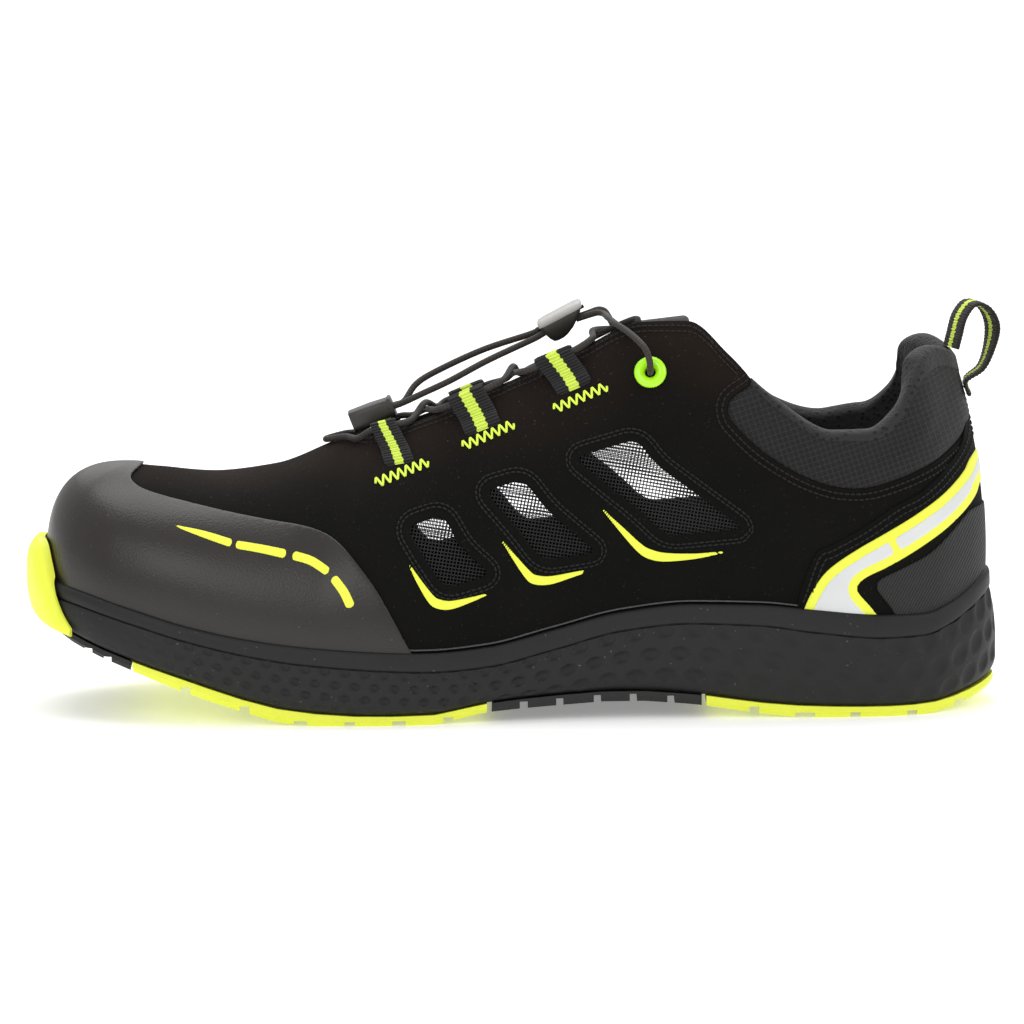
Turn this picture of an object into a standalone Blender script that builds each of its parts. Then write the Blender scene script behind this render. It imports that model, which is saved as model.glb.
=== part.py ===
"""Low safety sandal for the right foot, standing empty on its sole.

The toe points along -X, the inner (medial) side faces -Y and the floor is at Z = 0.
Tables and sizes are in millimetres: s runs from the toe tip to the heel, z from the floor.
"turn" goes round each side of the plan outline, 0 degrees at the toe tip and 180 at the heel.
"""

import math

import bmesh
import bpy
import numpy as np
from mathutils import Vector

MM = 0.001
LENGTH = 300.0
SOLE_FRONT = 4.0
SOLE_LENGTH = LENGTH - SOLE_FRONT
CLEARANCE = 0.3
FOOT_GAP = 0.5
STATIONS = 36
THROAT_TURN = 65.0
WALL = 2.2
CUP_SHARE = 0.12
MEDIAL = -1
LATERAL = 1
SIDES = (MEDIAL, LATERAL)
SIDE_WORDS = ((MEDIAL, "medial"), (LATERAL, "lateral"))

# Plain colours of the materials.
NUBUCK = (0.008, 0.008, 0.007)
FILM = (0.047, 0.041, 0.037)
FOAM = (0.031, 0.031, 0.032)
LINING = (0.02, 0.02, 0.02)
CUFF_CLOTH = (0.03, 0.03, 0.031)
WEBBING = (0.012, 0.012, 0.012)
PULL_WEBBING = (0.02, 0.016, 0.014)
SILVER = (0.76, 0.78, 0.78)
RIBBED = (0.045, 0.045, 0.045)
LIME = (0.45, 0.95, 0.003)
CORD = (0.045, 0.037, 0.031)
TOGGLE = (0.03, 0.03, 0.031)
RUBBER = {"black": (0.012, 0.012, 0.012), "yellow": (0.89, 0.95, 0.08)}


class Table:
    """Rows of named columns, read between rows on a smooth curve that never overshoots."""

    def __init__(self, columns, rows):
        values = np.array(rows, dtype=float)
        self.key = values[:, 0]
        self.columns = {name: values[:, i] for i, name in enumerate(columns)}

    def __call__(self, name, at):
        x = self.key
        y = self.columns[name]
        step = np.diff(x)
        slope = np.diff(y) / step
        before = slope[:-1]
        after = slope[1:]
        turning = before * after <= 0
        total = np.where(turning, 1.0, before + after)
        inner = np.where(turning, 0.0, 2 * before * after / total)
        tangent = np.concatenate(([slope[0]], inner, [slope[-1]]))
        at = np.clip(np.asarray(at, dtype=float), x[0], x[-1])
        row = np.clip(np.searchsorted(x, at, side="right") - 1, 0, len(x) - 2)
        span = step[row]
        t = (at - x[row]) / span
        rise = y[row + 1] - y[row]
        start = tangent[row] * span
        end = tangent[row + 1] * span
        return y[row] + t * (start + t * (3 * rise - 2 * start - end + t * (start + end - 2 * rise)))


# Plan outline of the sole, each side's distance from the shoe's axis.
PLAN = Table(("turn", "medial", "lateral", "tuck"), (
    (0, -8.0, -8.0, 3.2),
    (10, -21.0, 5.5, 3.2),
    (20, -33.0, 18.0, 3.2),
    (32, -43.5, 32.0, 3.2),
    (46, -50.0, 43.2, 3.2),
    (60, -53.0, 51.0, 3.2),
    (72, -54.0, 54.0, 3.2),
    (84, -49.0, 53.0, 3.2),
    (96, -42.3, 49.3, 3.2),
    (110, -38.2, 43.8, 3.2),
    (124, -38.0, 41.0, 3.4),
    (138, -36.0, 38.0, 3.8),
    (150, -30.0, 31.5, 4.4),
    (161, -19.5, 21.5, 5.0),
    (171, -8.5, 10.5, 5.4),
    (180, 1.0, 1.0, 5.6),
))

# Heights along the sole: tread face, seam over the tread, footbed, and the rim on each side.
SOLE = Table(("s", "tread", "seam", "floor", "medial", "lateral", "band"), (
    (4, 27.0, 30.0, 35.5, 40.8, 40.8, 4.5),
    (14, 22.5, 25.5, 34.0, 39.5, 39.5, 4.5),
    (33, 15.8, 19.0, 30.0, 34.8, 34.8, 4.6),
    (50, 9.6, 13.7, 26.0, 30.2, 30.4, 4.8),
    (68, 4.0, 8.0, 22.4, 26.6, 27.0, 5.2),
    (85, 0.0, 4.4, 19.8, 24.4, 25.0, 5.6),
    (108, 0.0, 3.2, 18.2, 22.8, 23.6, 5.8),
    (125, 0.0, 3.3, 18.0, 22.2, 23.2, 6.0),
    (143, 3.4, 6.4, 19.4, 23.6, 24.0, 6.2),
    (162, 4.6, 8.0, 22.0, 28.0, 27.0, 6.2),
    (183, 5.6, 9.0, 24.6, 33.1, 29.8, 6.0),
    (205, 4.2, 7.6, 26.0, 35.3, 31.4, 6.2),
    (225, 1.4, 5.0, 26.6, 35.0, 32.2, 6.6),
    (242, 0.0, 3.8, 26.6, 33.4, 32.2, 7.2),
    (262, 0.0, 3.4, 26.6, 31.6, 31.6, 7.4),
    (276, 0.0, 3.6, 26.6, 31.4, 31.4, 7.0),
    (286, 1.6, 5.0, 26.8, 34.0, 34.0, 6.6),
    (294, 3.6, 7.0, 27.2, 38.0, 38.0, 6.4),
    (300, 5.6, 9.0, 27.4, 41.6, 41.6, 6.4),
))

# Outer edge of the sole's side, from the tread up: inset from the outline, share of the height.
SOLE_FOOT_INSET = 3.0
SOLE_SIDE = (
    (0.6, 0.2),
    (0.0, 0.6),
    (1.5, 1.0),
)
BAND_INSET = 0.7
BAND_LEAN = 0.3
BAND_STEP = 1.0
RIM_ROUND = 0.9
RIM_INSET = 1.6

# Sections of the upper: where each meridian ends on top, how it leaves rim and top edge, and how far
# the outer side's top edge lies lower than the inner side's.
UPPER = Table(("turn", "s", "half", "z", "flare", "rise", "reach", "lean", "drop"), (
    (0, 30.0, 0.0, 74.5, 1.0, 20.0, 19.0, 0.0, 0.0),
    (20, 35.0, 0.0, 74.3, 1.5, 20.0, 22.0, 0.0, 0.0),
    (32, 44.0, 0.0, 73.3, 2.2, 20.0, 26.0, 0.0, 0.0),
    (46, 60.0, 0.0, 71.8, 3.0, 22.0, 30.0, 2.0, 0.0),
    (56, 78.0, 0.0, 74.4, 3.0, 24.0, 28.0, 7.0, 0.0),
    (65, 97.5, 0.0, 82.0, 2.5, 25.0, 26.0, 14.0, 0.0),
    (70, 106.5, 10.0, 83.8, 2.0, 26.0, 24.0, 28.0, 1.0),
    (80, 126.0, 14.0, 90.9, 1.5, 26.0, 26.0, 37.0, 2.5),
    (88, 146.5, 15.5, 100.2, 1.0, 26.0, 28.0, 42.0, 4.0),
    (96, 168.0, 17.5, 110.0, 1.0, 28.0, 30.0, 46.0, 5.5),
    (104, 189.0, 19.5, 119.8, 1.0, 28.0, 30.0, 52.0, 7.0),
    (110, 203.0, 22.0, 120.3, 1.5, 26.0, 28.0, 60.0, 8.0),
    (116, 215.5, 27.0, 110.5, 2.0, 24.0, 24.0, 70.0, 8.5),
    (122, 229.0, 30.5, 96.6, 2.5, 20.0, 20.0, 78.0, 7.0),
    (130, 247.0, 33.0, 86.0, 3.0, 17.0, 16.0, 84.0, 1.5),
    (136, 258.0, 32.5, 86.3, 3.0, 17.0, 16.0, 84.0, 0.0),
    (142, 266.5, 30.0, 92.0, 3.0, 18.0, 18.0, 82.0, 0.0),
    (148, 271.5, 27.0, 102.0, 2.8, 22.0, 22.0, 80.0, 0.0),
    (154, 274.5, 23.0, 108.0, 2.4, 24.0, 24.0, 78.0, 0.0),
    (162, 278.5, 15.0, 110.2, 1.6, 25.0, 25.0, 76.0, 0.0),
    (171, 283.0, 7.0, 108.4, 0.8, 25.0, 24.0, 75.0, 0.0),
    (180, 285.0, 0.0, 106.5, 0.5, 25.0, 24.0, 75.0, 0.0),
))

# The foot's axis drifts towards the big toe.
AXIS = Table(("s", "y"), (
    (0, -8.0),
    (30, -7.0),
    (60, -5.2),
    (98, -3.0),
    (150, -1.0),
    (200, 0.2),
    (300, 1.0),
))


def plan_point(side, turn, inset):
    """A point of the plan outline, moved in by inset, and the outline's own s there."""
    column = "medial" if side == MEDIAL else "lateral"
    step = 0.2
    ends = (np.clip(turn - step, 0, 180), np.clip(turn + step, 0, 180))
    along = [SOLE_FRONT + SOLE_LENGTH * (1 - np.cos(np.radians(end))) / 2 for end in ends]
    sides = [PLAN(column, end) for end in ends]
    forward = along[1] - along[0]
    sideways = sides[1] - sides[0]
    tip = (np.asarray(turn) <= 0) | (np.asarray(turn) >= 180)
    forward = np.where(tip, 0.0, forward)
    size = np.hypot(forward, sideways)
    out_s = -side * sideways / size
    out_y = side * forward / size
    s = SOLE_FRONT + SOLE_LENGTH * (1 - np.cos(np.radians(turn))) / 2
    y = PLAN(column, turn)
    return s - inset * out_s, y - inset * out_y, s, out_s, out_y


def rim_height(side, s):
    return SOLE("medial" if side == MEDIAL else "lateral", s)


def bare_skin(side, turn, share):
    """Outer face of the upper: share 0 at the footbed, CUP_SHARE at the rim, 1 at the top edge."""
    turn = np.asarray(turn, dtype=float)
    share = np.asarray(share, dtype=float)
    s, y, key, out_s, out_y = plan_point(side, turn, PLAN("tuck", turn))
    floor = SOLE("floor", key) + FOOT_GAP
    rim = rim_height(side, key) + CLEARANCE
    top_s = UPPER("s", turn)
    top_y = AXIS("y", top_s) + side * UPPER("half", turn)
    top_z = UPPER("z", turn) - (UPPER("drop", turn) if side == LATERAL else 0.0)
    flare = UPPER("flare", turn)
    reach = UPPER("reach", turn)
    lean = np.radians(UPPER("lean", turn))
    t = np.clip((share - CUP_SHARE) / (1 - CUP_SHARE), 0, 1)
    low = (1 - t) ** 3
    middle = 3 * t * (1 - t) ** 2
    high = 3 * t * t * (1 - t)
    last = t ** 3
    spread = reach * np.cos(lean)
    px = low * s + middle * (s + out_s * flare) + high * (top_s + out_s * spread) + last * top_s
    py = low * y + middle * (y + out_y * flare) + high * (top_y + out_y * spread) + last * top_y
    drop = reach * np.sin(lean)
    pz = low * rim + middle * (rim + UPPER("rise", turn)) + high * (top_z - drop) + last * top_z
    sunk = np.clip(1 - share / CUP_SHARE, 0, 1)
    pz = np.where(share < CUP_SHARE, rim + (floor - rim) * sunk, pz)
    return np.stack(np.broadcast_arrays(px - LENGTH / 2, py, pz), axis=-1)


def skin_normal(side, turn, share):
    step_turn = 0.3
    step_share = 0.004
    turn = np.clip(np.asarray(turn, dtype=float), 1, 179)
    share = np.asarray(share, dtype=float)
    along = bare_skin(side, turn + step_turn, share) - bare_skin(side, turn - step_turn, share)
    up = (bare_skin(side, turn, np.clip(share + step_share, 0, 1))
          - bare_skin(side, turn, np.clip(share - step_share, 0, 1)))
    normal = -side * np.cross(along, up)
    return normal / np.linalg.norm(normal, axis=-1, keepdims=True)


def skin(side, turn, share, lift=0.0):
    """A point at lift outside the upper's outer face; both sides agree where they meet."""
    normal = skin_normal(side, turn, share)
    other = skin_normal(-side, turn, share)
    turn = np.asarray(turn, dtype=float)
    share = np.asarray(share, dtype=float)
    joined = (turn <= 0) | (turn >= 180) | ((share >= 1) & (turn <= THROAT_TURN))
    normal = np.where(joined[..., None], normal + other, normal)
    normal = normal / np.linalg.norm(normal, axis=-1, keepdims=True)
    return bare_skin(side, turn, share) + normal * np.asarray(lift, dtype=float)[..., None]


def finish(name, mesh, colour, roughness, metallic=0.0):
    """One named object with its own material."""
    material = bpy.data.materials.new(name)
    material.use_nodes = True
    shader = material.node_tree.nodes["Principled BSDF"]
    shader.inputs["Base Color"].default_value = (*colour, 1.0)
    shader.inputs["Roughness"].default_value = roughness
    shader.inputs["Metallic"].default_value = metallic
    mesh.materials.clear()
    mesh.materials.append(material)
    thing = bpy.data.objects.new(name, mesh)
    bpy.context.scene.collection.objects.link(thing)
    mesh.shade_smooth()
    mesh.set_sharp_from_angle(angle=math.radians(35))
    return thing


def mesh_from(points, faces):
    """A closed mesh in metres from points in millimetres, doubled points merged."""
    shell = bmesh.new()
    corners = [shell.verts.new(Vector(point) * MM) for point in points]
    for face in faces:
        shell.faces.new([corners[i] for i in face])
    bmesh.ops.remove_doubles(shell, verts=shell.verts, dist=0.01 * MM)
    bmesh.ops.dissolve_degenerate(shell, edges=shell.edges, dist=0.001 * MM)
    bmesh.ops.recalc_face_normals(shell, faces=shell.faces)
    bmesh.ops.triangulate(shell, faces=shell.faces)
    mesh = bpy.data.meshes.new("shell")
    shell.to_mesh(mesh)
    shell.free()
    return mesh


def loft(sections, ends=(True, True)):
    """A closed mesh through sections, each a closed loop of points, with faces at its ends."""
    count = len(sections[0])
    points = [point for section in sections for point in section]
    faces = []
    for i in range(len(sections) - 1):
        here = i * count
        there = here + count
        for j in range(count):
            k = (j + 1) % count
            faces.append((here + j, here + k, there + k, there + j))
    if ends[0]:
        faces.append(tuple(range(count)))
    if ends[1]:
        faces.append(tuple(range(len(points) - count, len(points))))
    return mesh_from(points, faces)


def carve(thing, tool_mesh, operation):
    """Cut a closed tool from a body, or keep only what lies inside it."""
    tool = bpy.data.objects.new("tool", tool_mesh)
    bpy.context.scene.collection.objects.link(tool)
    step = thing.modifiers.new("carve", "BOOLEAN")
    step.object = tool
    step.operation = operation
    step.solver = "EXACT"
    graph = bpy.context.evaluated_depsgraph_get()
    result = bpy.data.meshes.new_from_object(thing.evaluated_get(graph))
    thing.modifiers.clear()
    thing.data = result
    bpy.data.objects.remove(tool)
    result.name = thing.name


def rounded(corners, radius, steps=2):
    """An outline through its corners with each corner turned on a soft arc."""
    outline = []
    for i, corner in enumerate(corners):
        here = np.array(corner, dtype=float)
        before = np.array(corners[i - 1], dtype=float) - here
        after = np.array(corners[(i + 1) % len(corners)], dtype=float) - here
        cut = min(radius, np.linalg.norm(before) / 2.2, np.linalg.norm(after) / 2.2)
        start = here + before / np.linalg.norm(before) * cut
        end = here + after / np.linalg.norm(after) * cut
        for k in range(steps + 1):
            t = k / steps
            outline.append((1 - t) ** 2 * start + 2 * t * (1 - t) * here + t * t * end)
    return outline


def prism(outline, near, far):
    """A side-view outline of (s, z) pairs drawn out along Y from near to far."""
    ends = [[(s - LENGTH / 2, y, z) for s, z in outline] for y in (near, far)]
    return loft(ends)


def across(turn, rows):
    """A loop across the sole at one station: inset and height rows on one side, then the other."""
    loop = []
    for side in SIDES:
        half = []
        for inset, height in rows(side, turn):
            s, y, _, _, _ = plan_point(side, turn, inset)
            half.append((float(s) - LENGTH / 2, float(y), float(height)))
        loop += half if side == MEDIAL else half[::-1]
    return loop


def station_s(turn):
    return SOLE_FRONT + SOLE_LENGTH * (1 - math.cos(math.radians(turn))) / 2


def midsole_rows(side, turn):
    """Side of the foam cup from its foot, over the groove and rim band, down to the footbed."""
    s = station_s(turn)
    seam = SOLE("seam", s)
    rim = rim_height(side, s)
    groove = rim - SOLE("band", s)
    tuck = PLAN("tuck", turn)
    draw = tuck - PLAN("tuck", 0)
    rows = [(SOLE_FOOT_INSET, seam)]
    rows += [(inset + draw * share, seam + share * (groove - seam)) for inset, share in SOLE_SIDE]
    rows += [
        (BAND_INSET + draw, groove + BAND_STEP),
        (BAND_INSET + BAND_LEAN + draw, rim - RIM_ROUND),
        (RIM_INSET + draw, rim),
        (tuck - CLEARANCE, rim),
        (tuck - CLEARANCE, SOLE("floor", s)),
    ]
    return rows


TREAD_INSETS = (2.6, 1.7, 2.0)


def tread_rows(side, turn):
    """Side of a tread pad from the floor up; both sides of the sole are alike here."""
    s = station_s(turn)
    top = SOLE("seam", s) - CLEARANCE
    tread = SOLE("tread", s)
    return list(zip(TREAD_INSETS, (tread, (top + tread) / 2, top)))


INSOLE_THICK = 4.0
INSOLE_GAP = 0.4
INSOLE_BEVEL = 1.0


def insole_rows(side, turn):
    """Side of the footbed, inside the upper's wall and just over the foam."""
    inset = PLAN("tuck", turn) + WALL + FOOT_GAP
    low = SOLE("floor", station_s(turn)) + INSOLE_GAP
    return [(inset, low), (inset + INSOLE_BEVEL, low + INSOLE_THICK)]


def sole_loft(rows, turns):
    """A body through stations of the sole; a station at a tip closes to a line."""
    sections = [across(turn, rows) for turn in turns]
    return loft(sections, ends=(turns[0] > 0, turns[-1] < 180))


ALL_TURNS = np.linspace(0, 180, STATIONS + 1)

# Tread pads: where each starts and ends round the outline, and its colour.
PADS = (
    ("outsole_toe", 4.0, 36.0, "black"),
    ("outsole_forefoot", 36.6, 86.2, "yellow"),
    ("outsole_waist", 86.8, 112.0, "black"),
    ("outsole_heel", 112.6, 180.0, "yellow"),
)

# Slots between the lugs: middle, width and depth over the tread face.
SLOTS = {
    "outsole_toe": ((20, 2.5, 1.6), (26, 2.5, 1.6)),
    "outsole_forefoot": ((50, 3, 2.0), (68, 3, 2.0), (85, 4, 1.6),
                         (100, 3, 1.4), (115, 4, 1.6), (130, 3, 1.8)),
    "outsole_waist": ((153, 2.4, 2.2), (164, 2.2, 2.2), (175.5, 2.2, 2.2),
                      (186.5, 2.2, 2.2), (198, 2.2, 2.2)),
    "outsole_heel": ((223.5, 3, 2.0), (239, 6, 1.6), (254.5, 3, 1.6), (272, 3, 1.6), (287, 3, 1.8)),
}
SLOT_FOOT = -8.0
BEYOND = 80.0


def make_tread():
    for name, start, end, colour in PADS:
        between = [turn for turn in ALL_TURNS if start + 1 < turn < end - 1]
        turns = [start] + between + [end]
        pad = finish(name, sole_loft(tread_rows, turns), RUBBER[colour], 0.6)
        for middle, width, depth in SLOTS[name]:
            top = float(SOLE("tread", middle)) + depth
            box = ((middle - width / 2, SLOT_FOOT), (middle + width / 2, SLOT_FOOT),
                   (middle + width / 2, top), (middle - width / 2, top))
            carve(pad, prism(box, -BEYOND, BEYOND), "DIFFERENCE")


# Toe guard round the front: lower edge, upper edge and how far it stands proud.
BUMPER = Table(("turn", "low", "top", "proud"), (
    (0, 35.0, 55.0, 1.0),
    (5, 31.5, 55.0, 1.0),
    (9, 29.5, 54.8, 0.95),
    (13, 28.2, 53.0, 0.9),
    (17, 27.0, 46.0, 0.8),
    (20, 26.0, 39.0, 0.65),
    (24.5, 24.6, 27.6, 0.35),
))
BUMPER_END = 24.5
BUMPER_STATIONS = 8
BUMPER_FACE = (3.2, 3.9, 4.0, 3.4, 0.6)
BUMPER_LEAST = (0.8, 0.1)

# Back of the guard: height and inset from the plan outline.
BUMPER_BACK = ((36.5, -0.4), (40.5, 0.2), (42.5, 1.2), (48.0, 1.5), (55.0, 1.9))


def make_bumper():
    """Rubber guard round the toe, its back clear of the cup and the upper."""
    heights, insets = zip(*BUMPER_BACK)
    turns = np.linspace(0, BUMPER_END, BUMPER_STATIONS)
    round_front = [(MEDIAL, turn) for turn in turns[::-1]] + [(LATERAL, turn) for turn in turns[1:]]
    sections = []
    for side, turn in round_front:
        low = float(BUMPER("low", turn))
        top = float(BUMPER("top", turn))
        proud = float(BUMPER("proud", turn))
        back = []
        face = []
        for share, stand in zip(np.linspace(0, 1, len(BUMPER_FACE)), BUMPER_FACE):
            z = low + share * (top - low)
            inset = float(np.interp(z, heights, insets))
            outset = min(inset - BUMPER_LEAST[0], -BUMPER_LEAST[1] - proud * stand)
            for row, depth in ((back, inset), (face, outset)):
                s, y, _, _, _ = plan_point(side, turn, depth)
                row.append((float(s) - LENGTH / 2, float(y), z))
        sections.append(back + face[::-1])
    finish("toe_bumper", loft(sections), RUBBER["yellow"], 0.55)


def skin_shell(turns, shares, outer, inner):
    """A closed shell on both sides of the upper between two lifts from its outer face."""
    turns = np.asarray(turns)
    shares = np.asarray(shares)
    grid_turn, grid_share = np.meshgrid(turns, shares, indexing="ij")
    n, m = grid_turn.shape
    points = []
    faces = []
    for side in SIDES:
        base = len(points)
        for lift in (outer, inner):
            layer = skin(side, grid_turn, grid_share, np.full((n, m), lift))
            points += [tuple(p) for p in layer.reshape(-1, 3)]

        def at(layer, i, j, base=base):
            return base + layer * n * m + i * m + j

        for i in range(n - 1):
            for j in range(m - 1):
                for face in (0, 1):
                    faces.append((at(face, i, j), at(face, i + 1, j),
                                  at(face, i + 1, j + 1), at(face, i, j + 1)))
            faces.append((at(0, i, 0), at(1, i, 0), at(1, i + 1, 0), at(0, i + 1, 0)))
            if shares[-1] < 1 or turns[i] >= THROAT_TURN:
                top = m - 1
                faces.append((at(0, i, top), at(0, i + 1, top), at(1, i + 1, top), at(1, i, top)))
        for i, tip in ((0, 0.0), (n - 1, 180.0)):
            if turns[i] != tip:
                for j in range(m - 1):
                    faces.append((at(0, i, j), at(0, i, j + 1), at(1, i, j + 1), at(1, i, j)))
    return mesh_from(points, faces)


# Windows in each side of the upper, corners as (s, z).
WINDOWS = (
    ((116.5, 60.2), (128.5, 64.0), (134.2, 54.0), (144.0, 45.2), (129.0, 41.0), (121.9, 51.4)),
    ((140.2, 70.6), (153.0, 74.2), (160.2, 65.0), (176.5, 51.2), (158.5, 48.8), (151.2, 58.4)),
    ((167.4, 80.4), (187.5, 86.4), (194.0, 78.0), (221.5, 58.0), (196.5, 55.6), (187.6, 64.3)),
)
WINDOW_ROUND = 3.0
WINDOW_SHIFT = {MEDIAL: 0.0, LATERAL: -5.5}
WINDOW_INNER = 12.0
EYELET_TURN = 104.8
EYELET_SHARE = 0.834
EYELET_HOLE = 2.9
HOLE_SIDES = 16
HOLE_REACH = 6.0

# Lower edge of the ankle cuff, from its front top round to the heel.
CUFF_LINE = (
    (221.6, 135.0), (221.6, 102.0), (215.6, 97.5), (215.2, 92.5), (218.6, 88.0), (225.3, 81.8),
    (233.6, 76.4), (241.0, 72.8), (249.0, 70.5), (258.0, 70.3), (267.0, 72.6), (277.0, 76.4),
    (283.3, 79.8), (289.0, 84.0), (310.0, 84.0),
)
CUFF_CORNER = (310.0, 135.0)
SKIN_SHARES = (0.0, CUP_SHARE, 0.27, 0.43, 0.6, 0.79, 1.0)


def shifted(line, distance):
    """A side-view line moved to its left by a distance."""
    points = np.array(line, dtype=float)
    step = np.gradient(points, axis=0)
    step /= np.linalg.norm(step, axis=1, keepdims=True)
    return [tuple(p) for p in points + distance * np.stack((-step[:, 1], step[:, 0]), axis=1)]


def cuff_prism(distance):
    return prism(shifted(CUFF_LINE, distance) + [CUFF_CORNER], -BEYOND, BEYOND)


def eyelet_frame(side):
    """The eyelet's middle on the upper, the way out and two ways along the face."""
    centre = skin(side, EYELET_TURN, EYELET_SHARE)
    normal = skin_normal(side, EYELET_TURN, EYELET_SHARE)
    along = np.cross(normal, (0.0, 0.0, 1.0))
    along /= np.linalg.norm(along)
    return centre, normal, along, np.cross(normal, along)


def eyelet_hole(side):
    centre, normal, along, up = eyelet_frame(side)
    ring = []
    for a in np.linspace(0, 2 * math.pi, HOLE_SIDES, endpoint=False):
        ring.append(centre + EYELET_HOLE * (math.cos(a) * along + math.sin(a) * up))
    return loft([[tuple(point + lift * normal) for point in ring] for lift in (-HOLE_REACH, HOLE_REACH)])


def make_upper():
    upper = finish("upper", skin_shell(ALL_TURNS, SKIN_SHARES, 0.0, -WALL), NUBUCK, 0.85)
    carve(upper, cuff_prism(0.0), "DIFFERENCE")
    for side in SIDES:
        for corners in WINDOWS:
            outline = rounded([(s + WINDOW_SHIFT[side], z) for s, z in corners], WINDOW_ROUND)
            carve(upper, prism(outline, side * WINDOW_INNER, side * BEYOND), "DIFFERENCE")
        carve(upper, eyelet_hole(side), "DIFFERENCE")


CUFF_START = 108.0
CUFF_SHARES = SKIN_SHARES[3:]
CUFF_PADDING = (3.0, 4.6, 6.2, 6.6)
ROLL_HEIGHT = 2.4
ROLL_ANGLES = (45, 90, 135)


def make_collar():
    """Padded cuff round the ankle, its top edge rolled over to the inside."""
    turns = [(MEDIAL, turn) for turn in ALL_TURNS if turn >= CUFF_START]
    turns += [(LATERAL, turn) for turn in ALL_TURNS[-2::-1] if turn >= CUFF_START]
    sections = []
    for side, turn in turns:
        outer = [skin(side, turn, share) for share in CUFF_SHARES]
        inner = [skin(side, turn, share, -pad) for share, pad in zip(CUFF_SHARES, CUFF_PADDING)]
        up = outer[-1] - outer[-2]
        up /= np.linalg.norm(up)
        roll = []
        for angle in ROLL_ANGLES:
            blend = (1 - math.cos(math.radians(angle))) / 2
            rise = ROLL_HEIGHT * math.sin(math.radians(angle))
            roll.append(outer[-1] * (1 - blend) + inner[-1] * blend + up * rise)
        sections.append([tuple(p) for p in outer + roll + inner[::-1]])
    collar = finish("collar", loft(sections), CUFF_CLOTH, 0.9)
    carve(collar, cuff_prism(CLEARANCE), "INTERSECT")


TONGUE_TURNS = (71, 75, 80, 86, 92, 98, 104, 109)
TONGUE_SHARES = (0.84, 0.92, 1.0)
TONGUE_DEPTH = WALL + 3.4
TONGUE_THICK = 4.0
TONGUE_CROWN = 0.75
TONGUE_ARCH = np.linspace(0, 1, 8)[1:-1]
TONGUE_FRONT_SHIFT = (-14.0, 0.0, -8.0)


def tongue_section(turn):
    """A loop across the tongue: under both flaps, and arched between them."""
    loops = []
    for depth in (TONGUE_DEPTH, TONGUE_DEPTH + TONGUE_THICK):
        wings = {side: [skin(side, turn, share, -depth) for share in TONGUE_SHARES] for side in SIDES}
        start = wings[MEDIAL][-1]
        end = wings[LATERAL][-1]
        chord = np.linalg.norm(end - start) * TONGUE_CROWN
        leave = start - wings[MEDIAL][-2]
        leave *= chord / np.linalg.norm(leave)
        arrive = wings[LATERAL][-2] - end
        arrive *= chord / np.linalg.norm(arrive)
        arch = []
        for t in TONGUE_ARCH:
            arch.append((2 * t ** 3 - 3 * t ** 2 + 1) * start + (t ** 3 - 2 * t ** 2 + t) * leave
                        + (3 * t ** 2 - 2 * t ** 3) * end + (t ** 3 - t ** 2) * arrive)
        loops.append(wings[MEDIAL] + arch + wings[LATERAL][::-1])
    return [tuple(p) for p in loops[0] + loops[1][::-1]]


def make_tongue():
    sections = [tongue_section(turn) for turn in TONGUE_TURNS]
    front = [tuple(np.array(point) + TONGUE_FRONT_SHIFT) for point in sections[0]]
    finish("tongue", loft([front] + sections), LINING, 0.9)


COAT = 1.0

# Side-view edges of the overlays as (s, z), each drawn from the toe or the floor towards the heel.
CAP_EDGE = (
    (33.5, 100.0), (33.5, 72.0), (36.5, 68.8), (49.7, 65.6), (62.0, 63.0), (75.0, 61.0), (85.0, 59.5),
    (91.0, 57.4), (97.0, 54.0), (102.0, 48.7), (108.0, 41.0), (114.0, 31.0), (119.5, 20.0),
)
CAP_FRONT = ((119.5, -5.0), (-10.0, -5.0), (-10.0, 100.0))
COUNTER_EDGE = (
    (235.5, 25.0), (238.9, 36.6), (243.8, 50.0), (249.0, 53.1), (258.6, 58.4), (268.5, 65.0),
    (276.0, 68.4), (283.0, 75.0), (288.6, 83.0), (288.9, 95.0), (310.0, 95.0),
)
STRIPE_TOP = (
    (238.5, 25.0), (240.6, 34.0), (243.4, 39.7), (246.2, 44.0), (250.0, 47.5), (256.4, 51.8),
    (264.0, 55.9), (271.6, 60.0), (278.7, 64.4), (284.0, 68.4), (288.5, 72.8), (291.5, 77.4),
    (310.0, 80.0),
)
STRIPE_FOOT = (
    (266.0, 25.0), (261.5, 31.5), (256.6, 37.5), (255.6, 40.0), (256.6, 42.2), (259.0, 44.0),
    (264.0, 46.3), (269.4, 49.0), (276.0, 52.7), (282.4, 56.8), (288.0, 61.4), (291.3, 65.0),
    (294.0, 69.8), (310.0, 72.0),
)
PATCH_EDGE = (
    (270.0, 25.0), (267.6, 32.8), (262.8, 39.4), (263.6, 42.4), (271.6, 46.0), (278.0, 49.3),
    (284.5, 55.0), (288.8, 59.4), (292.0, 61.5), (310.0, 63.0),
)
PATCH_CORNER = (310.0, 25.0)
HEEL_SHARES = SKIN_SHARES[1:-1] + (0.93,)
HEEL_TURNS = [turn for turn in ALL_TURNS if turn >= 112]
CAP_TURNS = [turn for turn in ALL_TURNS if turn <= 80]


def overlay(name, turns, shares, outline, colour, roughness):
    """A thin layer on the upper, cut to a side-view outline from a larger shell of the same face."""
    layer = finish(name, skin_shell(turns, shares, CLEARANCE + COAT, CLEARANCE), colour, roughness)
    carve(layer, prism(outline, -BEYOND, BEYOND), "INTERSECT")


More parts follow.
